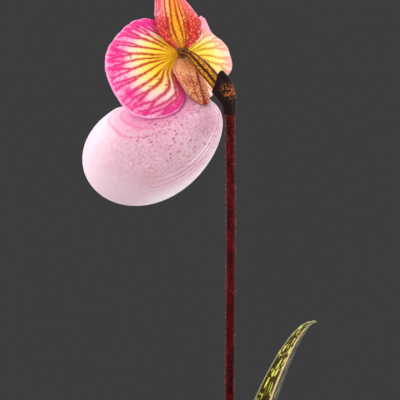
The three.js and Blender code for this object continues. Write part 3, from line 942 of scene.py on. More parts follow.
# colours from the base to the rim, as (place, red, green, blue)
petalShades = {
    "leftPetal": {
        "ground": [
            (0.0, 214, 160, 10), (0.16, 244, 196, 20), (0.36, 250, 214, 56), (0.52, 252, 222, 124),
            (0.66, 250, 216, 194), (0.8, 246, 192, 218), (1.0, 244, 174, 216),
        ],
        "veins": [
            (0.0, 176, 108, 8), (0.24, 178, 84, 8), (0.46, 176, 46, 12), (0.62, 188, 18, 50),
            (0.76, 204, 12, 96), (1.0, 222, 30, 134),
        ],
        "low": (248, 208, 214), "strength": 0.95, "net": 0.5, "blush": 1.0,
    },
    "rightPetal": {
        "ground": [
            (0.0, 224, 178, 20), (0.18, 244, 210, 36), (0.42, 248, 224, 84), (0.66, 250, 230, 150),
            (0.86, 250, 228, 196), (1.0, 248, 214, 212),
        ],
        "veins": [
            (0.0, 166, 98, 12), (0.4, 178, 124, 8), (0.7, 206, 142, 40), (0.9, 222, 150, 96),
            (1.0, 234, 156, 150),
        ],
        "low": (250, 224, 204), "strength": 0.75, "net": 0.1, "blush": 0.0,
    },
}


def paintPetal(recipe, shades):
    place, outward, fan = recipe.place(), recipe.kept("outward"), recipe.kept("fan")
    reach = outward + (place.cloud(130.0) - 0.5) * 0.2
    patches = place.cloud(260.0, 3.0, 0.55).between(0.42, 0.6)
    band = reach.between(0.62, 0.92) * outward.between(1.06, 0.84) * fan.between(-0.4, -0.1)
    lines = place.through(
        veinLine,
        Distance=recipe.kept("vein"),
        Fullness=outward.between(0.55, 0.95, 1.0, 1.32),
        Softness=outward.between(0.3, 1.0, 0.7, 1.1),
        Waver=1.3,
        Scale=620.0,
    )
    net = place.through(netLines, Scale=420.0, Width=0.03, Softness=0.3, Stir=0.003)
    drawn = lines * outward.between(0.0, 0.35, 0.45, 1.0) * shades["strength"]
    shade = reach.ramp(*shades["ground"]).layered(
        (fan.between(-0.14, -0.3) * outward.between(0.2, 0.5) * 0.9, shades["low"]),
        (fan.between(0.2, 0.34) * outward.between(0.35, 0.7) * 0.8, (242, 176, 218)),
        (band * (patches * 0.85 + 0.1) * shades["blush"], (228, 22, 126)),
        (drawn, reach.ramp(*shades["veins"])),
        (net * outward.between(0.66, 0.84) * shades["net"], (224, 52, 140)),
        # a pale band just inside the rim: painted rim light
        (outward.between(0.96, 0.99, 0.0, 0.7), (248, 180, 216)),
    )
    livingFinish(shade, place, lines * 1.6, bump=(0.4, 0.1), through=0.28)


def makePetals():
    for name, shape in petals.items():
        place, values = pushedBack(petalPlace(shape), ["lip"]), veinValues(shape)
        material = newMaterial(name + "Skin", paintPetal, petalShades[name])
        makeBlade(name, place, petal, material, shape["node"], values=values)


makePetals()
print("petals made")


# the two sepals

dorsal = {
    "base": 1.7, "height": 27.8, "keel": 0.7, "keelWidth": 0.16, "lean": 1, "thickness": 0.6,
    "rim": 0.25, "rows": 130, "columns": 96,
}
dorsalWidth = lineThrough([
    (0, 3.4), (0.08, 7.4), (0.18, 10.3), (0.3, 11.5), (0.42, 11.3), (0.56, 9.6), (0.7, 7.3),
    (0.83, 4.9), (0.94, 2.1), (1, 0.6),
])
dorsalForward = lineThrough([(0, 1.7), (0.3, 2.9), (0.5, 4.4), (0.7, 6.2), (1, 9.4)])
dorsalVeins = [(-0.42, 0.6), (-0.2, 1.0), (0.0, 1.1), (0.31, 1.5), (0.56, 0.8)]


def dorsalPlace(t, s):
    hood = (0.3 + 3.3 * t) * s**2
    keel = dorsal["keel"] * exp(-((s / dorsal["keelWidth"]) ** 2)) * (1 - t)
    x = dorsalWidth(t) * s + dorsal["lean"] * smooth(0, 0.4, t)
    return flowerPoint(x, dorsalForward(t) + hood - keel, dorsal["base"] + dorsal["height"] * t)


# lines along a sepal, each as (place from side to side, how wide it is)
def lengthVeins(lines, width, halfWidth):
    def values(t, s):
        wander = 0.03 * sin(9 * t + 7 * s)
        nearest = min(abs(s + wander * (1 - abs(s)) - line) / size for line, size in lines)
        return {"vein": nearest * max(width(t), 1) / halfWidth}

    return values


def paintDorsal(recipe):
    place, along, aside = recipe.place(), recipe.kept("along"), recipe.kept("aside")
    sway = (place.cloud(170.0, 4.0) - 0.5) * 0.16
    shift = along.between(0.0, 0.45, 0.16, 0.0)
    middle = aside - shift
    across = (middle + sway) * 0.5 + 0.5
    upper = across.ramp(
        (0.0, 246, 170, 194), (0.14, 238, 112, 116), (0.3, 240, 152, 90), (0.42, 246, 192, 96),
        (0.52, 238, 152, 30), (0.63, 244, 170, 44), (0.69, 248, 210, 130), (0.78, 242, 160, 122),
        (0.88, 240, 136, 144), (1.0, 246, 178, 200),
    )
    lower = across.ramp(
        (0.0, 244, 136, 120), (0.12, 232, 96, 70), (0.32, 234, 112, 40), (0.42, 240, 164, 18),
        (0.56, 244, 178, 14), (0.66, 240, 154, 20), (0.76, 232, 104, 56), (0.9, 230, 84, 72),
        (1.0, 236, 104, 104),
    )
    lift = along + sway * 1.5
    beside = (abs(middle - 0.1) - shift).between(0.24, 0.38)
    streaks = recipe.joined(aside * 11.0, along * 2.2).cloud(1.0, 3.0, 0.6).between(0.52, 0.62)
    net = place.through(netLines, Scale=640.0, Width=0.05, Softness=0.22, Stir=0.002)
    lines = {"Distance": recipe.kept("vein"), "Fullness": 1.0, "Softness": 0.8}
    lines = place.through(veinLine, **lines, Waver=1.6, Scale=420.0)
    ink = along.ramp((0.0, 88, 24, 6), (0.4, 150, 22, 10), (0.7, 196, 28, 28), (1.0, 214, 60, 80))
    dots = place.through(speckles, Scale=1500.0, Size=0.2, Share=0.7, Softness=0.25)
    shade = lower.layered(
        (lift.between(0.3, 0.52), upper),
        (streaks * beside * along.between(0.16, 0.4) * 0.85, (216, 44, 56)),
        (net * beside * lift.between(0.7, 0.3) * 0.95, (178, 18, 26)),
        (net * (1 - beside) * along.between(1.0, 0.2, 0.2, 0.5), (206, 112, 14)),
        (lines * along.between(0.0, 0.2, 0.5, 0.9), ink),
        (dots * along.between(0.9, 0.2, 0.2, 0.9), (84, 22, 8)),
    )
    livingFinish(shade, place, lines * 1.8, cells=2000.0)


synsepal = {
    "base": -2.5, "length": 17.5, "keel": 0.6, "keelWidth": 0.2, "lean": 3, "thickness": 0.6,
    "rim": 0.25, "rows": 110, "columns": 80,
}
synsepalVeins = [(0.0, 1.0), (0.42, 0.35)]
synsepalWidth = lineThrough([
    (0, 3.2), (0.14, 5.4), (0.35, 6.4), (0.58, 6.2), (0.75, 5.2), (0.88, 3.6), (1, 0.8),
])
synsepalBehind = lineThrough([(0, -0.9), (0.07, 1.9), (0.17, 5), (0.43, 8.3), (0.7, 11), (1, 13.4)])
synsepalWrap = lineThrough([(0, 0.2), (0.18, 5.4), (0.43, 4.8), (0.63, 3.1), (0.8, 2), (1, 0.3)])


def synsepalPlace(t, s):
    keel = synsepal["keel"] * exp(-((s / synsepal["keelWidth"]) ** 2))
    forward = synsepalWrap(t) * s**2 - synsepalBehind(t) - keel
    x = synsepalWidth(t) * s + synsepal["lean"] * t**2
    return flowerPoint(x, forward, synsepal["base"] - synsepal["length"] * t)


def paintSynsepal(recipe):
    place, along, aside = recipe.place(), recipe.kept("along"), recipe.kept("aside")
    ground = place.cloud(260.0, 4.0, 0.6)
    ground = ground.ramp((0.32, 218, 122, 74), (0.5, 236, 156, 104), (0.66, 246, 182, 132))
    streaks = recipe.joined(aside * 9.0, along * 1.6).cloud(1.0, 3.0, 0.6).between(0.5, 0.62)
    dots = place.through(speckles, Scale=1900.0, Size=0.34, Share=0.9, Softness=0.25)
    lines = {"Distance": recipe.kept("vein"), "Fullness": 1.0, "Softness": 0.8}
    lines = place.through(veinLine, **lines, Waver=0.8, Scale=500.0)
    shade = ground.layered(
        (abs(aside).between(0.6, 1.0, 0.0, 0.55), (226, 150, 130)),
        (streaks * 0.5, (176, 76, 48)),
        (along.between(0.35, 0.0, 0.0, 0.6), (176, 120, 58)),
        (dots * along.between(0.1, 0.75, 0.3, 1.0), (116, 26, 20)),
        (lines * along.between(0.0, 0.5, 0.5, 0.95), (134, 22, 16)),
    )
    livingFinish(shade, place, lines * 1.8, cells=2000.0, through=0.15)


def makeSepals():
    front = ["lip", "petal_left", "petal_right"]
    place, material = pushedBack(dorsalPlace, front), newMaterial("dorsalSkin", paintDorsal)
    values = lengthVeins(dorsalVeins, dorsalWidth, 0.42)
    makeBlade("dorsalSepal", place, dorsal, material, "dorsal_sepal", values=values)
    place, material = pushedBack(synsepalPlace, front), newMaterial("synsepalSkin", paintSynsepal)
    values = lengthVeins(synsepalVeins, synsepalWidth, 0.36)
    makeBlade("lowerSepal", place, synsepal, material, "synsepal", values=values)


makeSepals()
print("sepals made")


# column and its shield

column = {"radius": 1.75, "root": 1.35, "steps": 24, "sides": 40}
columnBalls = [  # an anther on each side and the stigma below, each with its centre and its radii
    ((2.0125, 6.2, -1.2), (1.2, 1.8, 1.2)), ((-2.0125, 6.2, -1.2), (1.2, 1.8, 1.2)),
    ((0, 8, -3.4), (1.8, 2, 1.4)),
]
staminode = {"fold": 1.7, "thickness": 0.9, "rim": 0.4, "rows": 60, "columns": 48}


def paintColumn(recipe):
    place = recipe.place()
    dots = place.through(speckles, Scale=900.0, Size=0.2, Share=0.4, Softness=0.25)
    back = recipe.node("SeparateXYZ", {"Vector": place}, "Y").between(-0.0345, -0.0315)
    shade = place.cloud(260.0).ramp((0.3, 226, 190, 104), (0.7, 246, 230, 172))
    shade = shade.layered((dots * 0.6, (150, 44, 60)), (back, (132, 72, 22)))
    livingFinish(shade, place, cells=2400.0, rough=(0.3, 0.45), bump=(0.3, 0.1), through=0.1)


def paintStaminode(recipe):
    place, along, out = recipe.place(), recipe.kept("along"), abs(recipe.kept("aside"))
    ground = out + place.cloud(300.0) * 0.2
    ground = ground.ramp((0.1, 250, 226, 110), (0.5, 248, 214, 84), (0.95, 250, 236, 190))
    waves = {"Vector": place, "Scale": 260.0, "Distortion": 3.0, "Detail": 2.0}
    waves = recipe.node("TexWave", waves, "Fac").between(0.62, 0.9)
    streaks = waves * out.between(0.15, 0.5) * along.between(0.95, 0.5) * 0.8
    shade = ground.layered((streaks, (190, 40, 70)))
    livingFinish(shade, place, rough=(0.26, 0.4), bump=(0.3, 0.1), through=0.1)


def ballPoints(centre, radii, rows=16, sides=28):
    rings = []
    for i in range(1, rows):
        polar = pi * i / rows
        ring = []
        for j in range(sides):
            turn = -2 * pi * j / sides
            ring.append(centre + Vector(radii) * turnPoint(sin(polar), turn, cos(polar)))
        rings.append(ring)
    top, bottom = Vector((0, 0, radii[2])), Vector((0, 0, -radii[2]))
    return skinRings(rings, centre + top, centre + bottom)


def makeColumn():
    curve = bezier([flowerPoint(0, 0.8, 0.2), flowerPoint(0, 4, 0.4), flowerPoint(0, 8.6, -1.2)])

    def radiusAt(t, angle):
        body = mix(column["root"], column["radius"], smooth(0, 0.4, t))
        return body * (1 - 0.25 * smooth(0.8, 1, t))

    rings = rodRings(curve, radiusAt, column["steps"], column["sides"])
    points, faces = skinRings(rings, curve(0), curve(1))
    for centre, radii in columnBalls:
        more, around = ballPoints(flowerPoint(*centre), radii)
        faces += [tuple(len(points) + v for v in face) for face in around]
        points += more
    material = newMaterial("columnSkin", paintColumn)
    seatPiece(meshFrom("column", points, faces), material, ["column"])


staminodeCurve = bezier([
    flowerPoint(0, forward, up) for forward, up in ((6.8, 2), (11, 2.4), (15.6, -1), (16.8, -9.4))
])
staminodeWidth = lineThrough([(0, 1.8), (0.15, 4), (0.4, 5.2), (0.7, 4.7), (0.9, 2.8), (1, 0.7)])


def staminodePlace(t, s):
    sideways = Vector((1, 0, 0))
    outward = -tangentOf(staminodeCurve, t).cross(sideways)
    across = staminodeWidth(t) * s
    crease = -staminode["fold"] * (1 - exp(-((across / 3) ** 2)))
    return staminodeCurve(t) + sideways * across + outward * crease


def makeStaminode():
    material = newMaterial("staminodeSkin", paintStaminode)
    makeBlade("staminode", staminodePlace, staminode, material, "staminode")


makeColumn()
makeStaminode()
print("column made")


# stem, ovary and bract, with their hairs

rootedZ, soilTop = 62.3, 73
scape = {"radius": 1.8, "flare": 0.2, "bow": 0.5, "steps": 160, "sides": 36}
scapeTop = flower["height"] - flower["aboveScape"]
scapeCurve = curveThrough([
    (0, 0, rootedZ),
    (0, 0, soilTop),
    (0, -scape["bow"], mix(soilTop, scapeTop, 0.25)),
    (0, 0, mix(soilTop, scapeTop, 0.7)),
    (0, -scape["bow"], scapeTop),
])
ovary = {
    "radius": 2.6, "foot": 1.4, "neck": 1.4, "cap": 2.1, "ribs": 6, "ribDepth": 0.2,
    "steps": 120, "sides": 72,
}
ovaryCurve = curveThrough([
    flowerPoint(0, -behind, -below)
    for behind, below in (
        (27.6, 23.3), (27.3, 19.8), (25.2, 16.4), (21.4, 12.8), (15.5, 8.4), (9.6, 4.6),
        (4.2, 1.3), (-0.5, 0.1),
    )
])
bract = {
    "foot": 1.98, "belly": 3.2, "thickness": 0.5, "rim": 0.3, "rows": 80, "columns": 64,
}
bractKeel = curveThrough([
    flowerPoint(0, -behind, -below)
    for behind, below in ((29.5, 23.4), (29.5, 18.4), (28.2, 13.4), (25.9, 9.5), (22.5, 6.4))
])
bractBreadth = lineThrough([
    (0, 4.6), (0.2, 5.4), (0.4, 7.6), (0.6, 9.2), (0.75, 8.2), (0.88, 4.8), (1, 0.5),
])


# short tapering hairs that stand out from a rod
hairs = {
    "stemHairs": {
        "slot": "stem", "count": 1500, "span": (0.12, 1.0), "lengths": (0.3, 0.75),
        "radius": 0.035, "seed": 5,
    },
    "ovaryHairs": {
        "slot": "ovary", "count": 450, "span": (0.15, 0.92), "lengths": (0.2, 0.5),
        "radius": 0.03, "seed": 8,
    },
}


def growHairs(name, curve, radiusAt, material):
    look = hairs[name]
    dice, sway = random.Random(look["seed"]), random.Random(look["seed"] + 1)
    points, faces = [], []
    for _ in range(look["count"]):
        t, angle = dice.uniform(*look["span"]), dice.uniform(0, 2 * pi)
        root, normal = rodPoint(curve, radiusAt, t, angle), rodSide(curve, t, angle)
        length = sway.uniform(*look["lengths"])
        lean = Vector([sway.uniform(-0.35, 0.35) for _ in range(3)])
        tip = root + (normal + lean).normalized() * length
        middle = root.lerp(tip, 0.55) + lean * length * 0.12
        side = normal.orthogonal().normalized()
        other = normal.cross(side)
        start = len(points)
        for centre, size in ((root - normal * 0.1, 1), (middle, 0.7)):
            for turn in (0.0, 2.1, 4.2):
                out = side * cos(turn) + other * sin(turn)
                points.append(centre + out * look["radius"] * size)
        points.append(tip)
        for a, b in ((0, 1), (1, 2), (2, 0)):
            faces.append((start + a, start + b, start + 3 + b, start + 3 + a))
            faces.append((start + 3 + a, start + 3 + b, start + 6))
        faces.append((start + 2, start + 1, start))
    seatPiece(meshFrom(name, points, faces), material)


def paintHairs(recipe):
    tone = recipe.place().cloud(900.0, 1.0)
    shade = tone.ramp((0.3, 190, 110, 124), (0.7, 232, 180, 184))
    dryFinish(shade, tone.between(0.2, 0.8, 0.4, 0.6))


def paintStem(recipe):
    place = recipe.place((1, 1, 0.45))
    shade = place.cloud(420.0, 4.0, 0.6).ramp((0.3, 22, 0, 1), (0.5, 58, 0, 4), (0.75, 98, 3, 14))
    dots = place.through(speckles, Scale=1500.0, Size=0.2, Share=0.35, Softness=0.3)
    shade = shade.layered((dots * 0.5, (24, 2, 4)))
    finish = {"cells": 2600.0, "uneven": 1.0, "rough": (0.5, 0.7), "bump": (0.5, 0.12), "glow": 0}
    finish.update({"through": 0, "gloss": 0.06, "sheen": 0.16, "sheenTint": (236, 80, 120)})
    livingFinish(shade, place, **finish)


def paintOvary(recipe):
    place, along = recipe.place(), recipe.kept("along")
    broad = place.cloud(520.0, 4.0, 0.65) - 0.5
    net = place.through(netLines, Scale=1150.0, Width=0.04, Softness=0.2, Stir=0.001)
    dots = place.through(speckles, Scale=1300.0, Size=0.26, Share=0.6, Softness=0.25)
    shade = (recipe.kept("rib") + broad).ramp(
        (0.12, 48, 14, 6), (0.3, 112, 52, 4), (0.44, 204, 130, 4), (0.75, 246, 176, 8),
        (1.0, 214, 138, 6),
    )
    shade = shade.layered(
        (net * 0.7, (62, 20, 12)),
        (dots * 0.85, (48, 12, 12)),
        ((along + broad).between(0.7, 1.0, 0.0, 0.8), (62, 18, 12)),
    )
    finish = {"cells": 2400.0, "rough": (0.42, 0.6), "bump": (0.45, 0.12), "through": 0, "glow": 0}
    livingFinish(shade, place, **finish, gloss=0.14, sheen=0.06, sheenTint=(240, 190, 150))


def paintBract(recipe):
    place, along, out = recipe.place(), recipe.kept("along"), abs(recipe.kept("aside"))
    mottle = place.cloud(900.0, 4.0, 0.6)
    middle = along.between(0.26, 0.42) * along.between(0.7, 0.5) * out.between(0.6, 0.2)
    net = place.through(netLines, Scale=1500.0, Width=0.02, Softness=0.18, Stir=0.0014)
    shade = mottle.ramp((0.35, 12, 1, 2), (0.6, 26, 6, 4), (0.8, 44, 12, 6)).layered(
        (net * mottle.between(0.44, 0.56) * middle * 0.95, (194, 104, 34)),
        # a paler edge: painted sheen of the hairs along the rim
        (out.between(0.95, 1.0, 0.0, 0.5), (120, 96, 84)),
    )
    finish = {"rough": (0.42, 0.58), "bump": (0.45, 0.12), "through": 0, "glow": 0, "gloss": 0.08}
    livingFinish(shade, place, **finish, sheen=0.05, sheenTint=(220, 190, 180))


def makeRod(name, look, curve, radiusAt, paint, node, valuesOf=None):
    rings = rodRings(curve, radiusAt, look["steps"], look["sides"])
    points, faces = skinRings(rings, curve(0), curve(1))
    piece = meshFrom(name, points, faces, valuesOf and valuesOf(look["steps"], look["sides"]))
    seatPiece(piece, newMaterial(name + "Skin", paint), [node])


def scapeRadius(t, angle):
    return scape["radius"] + scape["flare"] * (1 - smooth(0, 0.25, t))


def ribAt(angle):
    return cos(ovary["ribs"] * angle)


def ovaryRadius(t, angle):
    ends = ovary["foot"] if t < 0.5 else mix(ovary["neck"], ovary["cap"], smooth(0.93, 1, t))
    body = mix(ends, ovary["radius"], smooth(0, 0.5, t) * (1 - smooth(0.62, 0.92, t)))
    return body + ovary["ribDepth"] * ribAt(angle)


def ovaryValues(steps, sides):
    ribs = [0.5 + 0.5 * ribAt(2 * pi * j / sides) for j in range(sides)]
    along = [i / steps for i in range(steps + 1) for _ in range(sides)]
    return {"rib": [0.5] + ribs * (steps + 1) + [0.5], "along": [0.0] + along + [1.0]}


def makeStem():
    makeRod("stem", scape, scapeCurve, scapeRadius, paintStem, "scape")
    material = newMaterial("hairs", paintHairs)
    growHairs("stemHairs", scapeCurve, scapeRadius, material)
    makeRod("ovary", ovary, ovaryCurve, ovaryRadius, paintOvary, "ovary", ovaryValues)
    growHairs("ovaryHairs", ovaryCurve, ovaryRadius, material)


def bractPlace(t, s):
    sideways = Vector((1, 0, 0))
    bend = mix(bract["foot"], bract["belly"], smooth(0, 0.3, t)) * (1 - 0.5 * smooth(0.75, 1, t))
    inward = sideways.cross(tangentOf(bractKeel, t))
    breadth = bractBreadth(t) * abs(s)
    turn = min(breadth / bend, pi / 2)
    aside = copysign(bend * sin(turn), s)
    return bractKeel(t) + sideways * aside + inward * (breadth - bend * (turn - 1 + cos(turn)))


def makeBract():
    material = newMaterial("bractSkin", paintBract)
    makeBlade("bract", bractPlace, bract, material, "bract", rounded=False)


makeStem()
makeBract()
print("stem, ovary and bract made")


# the fan of leaves

leaf = {
    "thickness": 1.1, "rim": 0.45, "rows": 150, "columns": 40, "taper": (0.55, 2.4), "fold": 0.3,
}
rank = radians(98)
leaves = {
    "youngLeaf": {
        "node": "leaf_young", "out": rank, "base": 2.9, "width": 8.7,
        "lean": [(11, 24.5), (32.7, 76.3), (43.2, 74.8)], "taper": (0.3, 1.03), "wave": 0,
        "phase": 0, "fold": 0.19,
    },
    "leftLeaf": {
        "node": "leaf_left", "out": rank + radians(186), "base": 3.5, "width": 9,
        "lean": [(4.4, 30), (34, 38), (84, 9)], "wave": 0.7, "phase": 1,
    },
    "rightLeaf": {
        "node": "leaf_right", "out": rank - radians(10), "base": 5, "width": 9.6,
        "lean": [(11, 24), (38, 47), (92, 8)], "wave": 0.8, "phase": 3,
    },
    "frontLeaf": {
        "node": "leaf_front", "out": rank + radians(164), "base": 5.5, "width": 9.8,
        "lean": [(6.8, 28), (42, 30), (93, -2)], "wave": 0.8, "phase": 5,
    },
    "backLeaf": {
        "node": "leaf_back", "out": rank + radians(13), "base": 7.2, "width": 9.2,
        "lean": [(11.2, 20), (42, 25), (88, -3)], "wave": 0.7, "phase": 2,
    },
}


def leafPlace(shape):
    shape = {**leaf, **shape}
    sideways = turnPoint(1, shape["out"] + pi / 2)
    controls = [(shape["base"], rootedZ - soilTop)] + shape["lean"]
    curve = bezier([turnPoint(along, shape["out"], soilTop + up) for along, up in controls])
    foot = min(1.3 * shape["base"], 7.6)
    start, power = shape["taper"]

    def place(t, s):
        opened = smooth(0.04, 0.42, t)
        tip = (1 - clamp((t - start) / (1 - start)) ** power) ** 0.75
        half = mix(foot, shape["width"], opened) * max(tip, 0.06)
        bend = mix(1 / shape["base"], 0.018, opened)
        across = half * s
        arc = (1 - cos(bend * across)) / bend
        channel = shape["fold"] * (sqrt(across**2 + 1) - 1)
        ripple = shape["wave"] * s**2 * sin(5 * pi * t + shape["phase"] + 1.4 * s)
        inward = tangentOf(curve, t).cross(sideways) * (arc + opened * (channel + ripple))
        return curve(t) + sideways * (sin(bend * across) / bend) + inward

    return place


def paintLeaf(recipe):
    place, along, aside, upper = recipe.place(), *map(recipe.kept, ("along", "aside", "upper"))
    out = abs(aside)
    stir = recipe.node("TexNoise", {"Vector": place, "Scale": 260.0, "Detail": 3.0}, "Color")
    stir = recipe.node("VectorMath", {0: stir, 1: (0.9, 0.9, 0.0)}, operation="MULTIPLY")
    flat = recipe.joined(along * 11.0, aside * 3.4)
    flat = recipe.node("VectorMath", {0: flat, 1: stir}, operation="ADD")
    patch = recipe.node("TexVoronoi", {"Vector": flat, "Scale": 1.6}, feature="DISTANCE_TO_EDGE")
    below = place.cloud(500.0).ramp((0.3, 36, 24, 8), (0.7, 84, 68, 22)).layered(
        # the right half darker: painted shade on the half turned away from the light
        (aside.between(0.0, 0.3, 0.0, 0.7), (20, 12, 4)),
        # pale yellow mottles, full on the left half and faint on the right: real mottling, made
        # stronger on the left as painted light
        (patch.between(0.15, 0.27) * aside.between(0.1, -0.1, 0.25, 1.0), (232, 222, 96)),
    )
    shade = below.layered(
        (upper, recipe.blend(patch.between(0.06, 0.26), (58, 84, 34), (142, 160, 92))),
        (out.between(0.12, 0.04) * 0.85, recipe.blend(upper, (240, 208, 150), (70, 96, 44))),
        (out.between(0.95, 1.0, 0.0, 0.6), (160, 154, 112)),
    )
    finish = {"cells": 1500.0, "uneven": 1.0, "rough": (0.3, 0.46), "bump": (0.3, 0.12)}
    livingFinish(shade, place, **finish, through=0.06, glow=0.05)


def makeLeaves():
    material = newMaterial("leafSkin", paintLeaf)
    for name, shape in leaves.items():
        makeBlade(name, leafPlace(shape), leaf, material, shape["node"], rounded=False)


makeLeaves()
print("leaves made")


# pot

pot = {
    "height": 82, "base": 33, "top": 44, "wall": 3.6, "floor": 4.5, "bevel": 1.3, "sides": 160,
}
collar = {"height": 15, "stand": 2.6, "step": 0.4}
drain = {"count": 4, "radius": 4, "ring": 17, "sides": 32}


def potOuter(z):
    return mix(pot["base"], pot["top"], z / pot["height"])


def potInner(z):
    return potOuter(z) - pot["wall"]


# rounds each inner corner of a profile
def roundedProfile(corners, radius, steps=5):
    made = [corners[0]]
    for before, at, after in zip(corners, corners[1:], corners[2:]):
        at, a, b = Vector(at), Vector(before) - Vector(at), Vector(after) - Vector(at)
        cut = min(radius, a.length * 0.4, b.length * 0.4)
        start, end = at + a.normalized() * cut, at + b.normalized() * cut
        for i in range(steps + 1):
            t = i / steps
            made.append(tuple(start.lerp(at, t).lerp(at.lerp(end, t), t)))
    return made + [corners[-1]]


def paintClay(recipe):
    place = recipe.place()
    high = recipe.node("SeparateXYZ", {"Vector": place}, "Z")
    bloom = place.cloud(60.0, 6.0, 0.7).between(0.5, 0.72) * 0.45
    bloom = bloom * high.between(0.05, 0.0, 0.35, 1.0)
    pits = place.through(speckles, Scale=700.0, Size=0.16, Share=0.3, Softness=0.2)
    shade = place.cloud(28.0, 5.0, 0.6)
    shade = shade.ramp((0.3, 168, 92, 60), (0.5, 186, 108, 74), (0.7, 200, 126, 90))
    shade = shade.layered((bloom, (222, 192, 170)), (pits * 0.5, (110, 56, 36)))
    rings = {"Vector": place, "Scale": 150.0, "Distortion": 1.2, "Detail": 2.0}
    rings = recipe.node("TexWave", rings, "Fac", bands_direction="Z")
    grain = place.cloud(900.0, 4.0, 0.7)
    normal = bumpFrom(rings * 0.35 + grain - pits, 0.5, 0.2)
    dryFinish(shade, grain.between(0.2, 0.8, 0.78, 0.95), Normal=normal)


def makePot():
    top, floor, stand = pot["height"], pot["floor"], collar["stand"]
    foot = top - collar["height"]
    profile = [
        (0, 0), (potOuter(0), 0), (potOuter(foot), foot),
        (potOuter(foot) + stand, foot + collar["step"]), (potOuter(top) + stand, top),
        (potInner(top), top), (potInner(floor), floor), (0, floor),
    ]
    points, faces = lathe(roundedProfile(profile, pot["bevel"]), pot["sides"])
    piece = meshFrom("pot", points, faces)
    reach = 2 * floor
    bit = [(0, -reach), (drain["radius"], -reach), (drain["radius"], reach), (0, reach)]
    points, faces = lathe(bit, drain["sides"])
    for i in range(drain["count"]):
        shift = turnPoint(drain["ring"], 2 * pi * (i + 0.5) / drain["count"])
        drill = meshFrom("drill", [p + shift for p in points], faces)
        cut = piece.modifiers.new("drainHole", "BOOLEAN")
        cut.object = drill
        cut.operation = "DIFFERENCE"
        cutPiece = piece.evaluated_get(bpy.context.evaluated_depsgraph_get())
        bored = bpy.data.meshes.new_from_object(cutPiece)
        piece.modifiers.clear()
        piece.data = bored
        bpy.data.objects.remove(drill)
    seatPiece(piece, newMaterial("clay", paintClay), ["pot"], 35)


makePot()
print("pot made")


# bark

chip = {
    "long": 8.4, "wide": 5.8, "high": 4.2, "circles": [(16, 9), (22.4, 13), (28.8, 18)],
    "seed": 7, "splits": 7, "rough": 0.28,
}
crumb = {
    "count": 190, "inner": 13.6, "outer": 36.4, "sizes": ((1.2, 2.6), (0.8, 1.7), (0.5, 1.1)),
    "seed": 31, "splits": 4, "rough": 0.16,
}
bed = {"dish": 1.6, "crown": 11.5, "gap": 0.3, "sides": 96, "tone": 0.15}


# the same numbers as the solids use
def seededRandom(seed):
    state = [seed]

    def draw():
        state[0] = (state[0] * 1664525 + 1013904223) % 4294967296
        return state[0] / 4294967296

    return draw


def soilSurface(radius):
    return soilTop - bed["dish"] * (radius / potInner(soilTop)) ** 2


def turned(point, axis, angle):
    x, y, z = point
    c, s = cos(angle), sin(angle)
    if axis == "x":
        return Vector((x, y * c - z * s, y * s + z * c))
    if axis == "y":
        return Vector((x * c + z * s, y, -x * s + z * c))
    return Vector((x * c - y * s, x * s + y * c, z))


# a lump of bark from eight corners: split, softened and broken up along its grain
def lumpFrom(corners, turns, centre, seed, splits, rough):
    points, faces, found = [], [], {}

    def cornerAt(u, v, w):
        total = Vector((0, 0, 0))
        for (a, b, c), corner in corners.items():
            total += corner * (u if a else 1 - u) * (v if b else 1 - v) * (w if c else 1 - w)
        return total

    def pointAt(u, v, w):
        key = (round(u, 4), round(v, 4), round(w, 4))
        if key not in found:
            point = cornerAt(u, v, w)
            soft = (Vector((u, v, w)) - Vector((0.5, 0.5, 0.5))) * 2
            point = point * (1 - 0.16 * smooth(1.1, 1.73, soft.length))
            stretched = (point.x * 0.35 + seed * 7.1, point.y * 0.9, point.z * 1.6)
            grain = noise.noise(Vector(stretched))
            point += point.normalized() * grain * rough * 2
            for axis, angle in turns:
                point = turned(point, axis, angle)
            found[key] = len(points)
            points.append(point + centre)
        return found[key]

    steps = [i / splits for i in range(splits + 1)]
    for side in (0, 1):
        for a, b in zip(steps, steps[1:]):
            for c, d in zip(steps, steps[1:]):
                ring = [(a, c), (b, c), (b, d), (a, d)]
                if not side:
                    ring.reverse()
                faces.append(tuple(pointAt(side, p, q) for p, q in ring))
                faces.append(tuple(pointAt(q, side, p) for p, q in ring))
                faces.append(tuple(pointAt(p, q, side) for p, q in ring))
    return points, faces


def paintBark(recipe):
    place = recipe.place()
    grain = recipe.place((1, 1, 2.6)).cloud(420.0, 5.0, 0.65)
    dust = place.cloud(1400.0, 4.0, 0.7).between(0.55, 0.75, 0.0, 0.35)
    shade = (recipe.kept("tone") * 0.55 + grain * 0.6).ramp(
        (0.25, 34, 22, 16), (0.45, 70, 44, 28), (0.62, 110, 70, 42), (0.85, 150, 104, 64),
    )
    normal = bumpFrom(grain * 1.5 + place.cloud(1100.0), 0.8, 0.35)
    shade = shade.layered((dust, (176, 140, 100)))
    dryFinish(shade, grain.between(0.2, 0.8, 0.7, 0.95), Normal=normal)


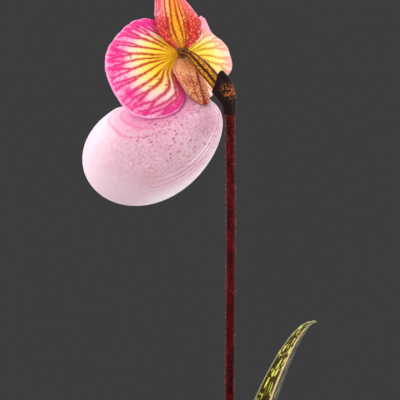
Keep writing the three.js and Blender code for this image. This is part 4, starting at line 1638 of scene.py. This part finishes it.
def makeBark():
    draw = seededRandom(chip["seed"])
    order = [
        (1, 1, 1), (1, 1, 0), (1, 0, 1), (1, 0, 0), (0, 1, 0), (0, 1, 1), (0, 0, 0), (0, 0, 1),
    ]
    points, faces, tones = [], [], []

    def addPart(made, around, tone):
        faces.extend(tuple(len(points) + v for v in face) for face in around)
        points.extend(made)
        tones.extend([tone] * len(made))

    dice = random.Random(crumb["seed"])
    for radius, count in chip["circles"]:
        for i in range(count):
            angle = 2 * pi * (i + 0.3 * draw()) / count
            size = [chip[side] * mix(0.75, 1.1, draw()) / 2 for side in ("long", "wide", "high")]
            corners = {}
            for key in order:
                shrink = mix(0.68, 1.02, draw())
                corners[key] = Vector([(2 * k - 1) * half * shrink for k, half in zip(key, size)])
            turns = [("x", 0.5 * (draw() - 0.5)), ("y", 0.5 * (draw() - 0.5))]
            turns.append(("z", angle + pi / 2 + 1.2 * (draw() - 0.5)))
            centre = turnPoint(radius, angle, soilSurface(radius) + 0.12 * chip["high"])
            lump = lumpFrom(corners, turns, centre, len(points), chip["splits"], chip["rough"])
            addPart(*lump, dice.random())
    for i in range(crumb["count"]):
        radius = sqrt(dice.uniform(crumb["inner"] ** 2, crumb["outer"] ** 2))
        angle = dice.uniform(0, 2 * pi)
        size = [dice.uniform(*sizes) for sizes in crumb["sizes"]]
        corners = {}
        for key in order:
            signed = [(2 * k - 1) * half for k, half in zip(key, size)]
            corners[key] = Vector([number * dice.uniform(0.6, 1.05) for number in signed])
        turns = [(axis, dice.uniform(-0.6, 0.6)) for axis in "xy"] + [("z", dice.uniform(0, 6.3))]
        centre = turnPoint(radius, angle, soilSurface(radius) + dice.uniform(0.1, 1.0))
        lump = lumpFrom(corners, turns, centre, i + 0.5, crumb["splits"], crumb["rough"])
        addPart(*lump, dice.random())
    edge, bottom = potInner(soilTop) - bed["gap"], pot["floor"] + bed["gap"]
    profile = [(0, bottom), (potInner(bottom) - bed["gap"], bottom)]
    profile += [(radius, soilSurface(radius)) for radius in (edge, 0.7 * edge, bed["crown"])]
    profile += [(bed["crown"], rootedZ - bed["gap"]), (0, rootedZ - bed["gap"])]
    addPart(*lathe(profile, bed["sides"]), bed["tone"])
    piece = meshFrom("bark", points, faces, {"tone": tones})
    seatPiece(piece, newMaterial("barkChips", paintBark), ["potting_mix"], 50)


makeBark()
print("bark made")
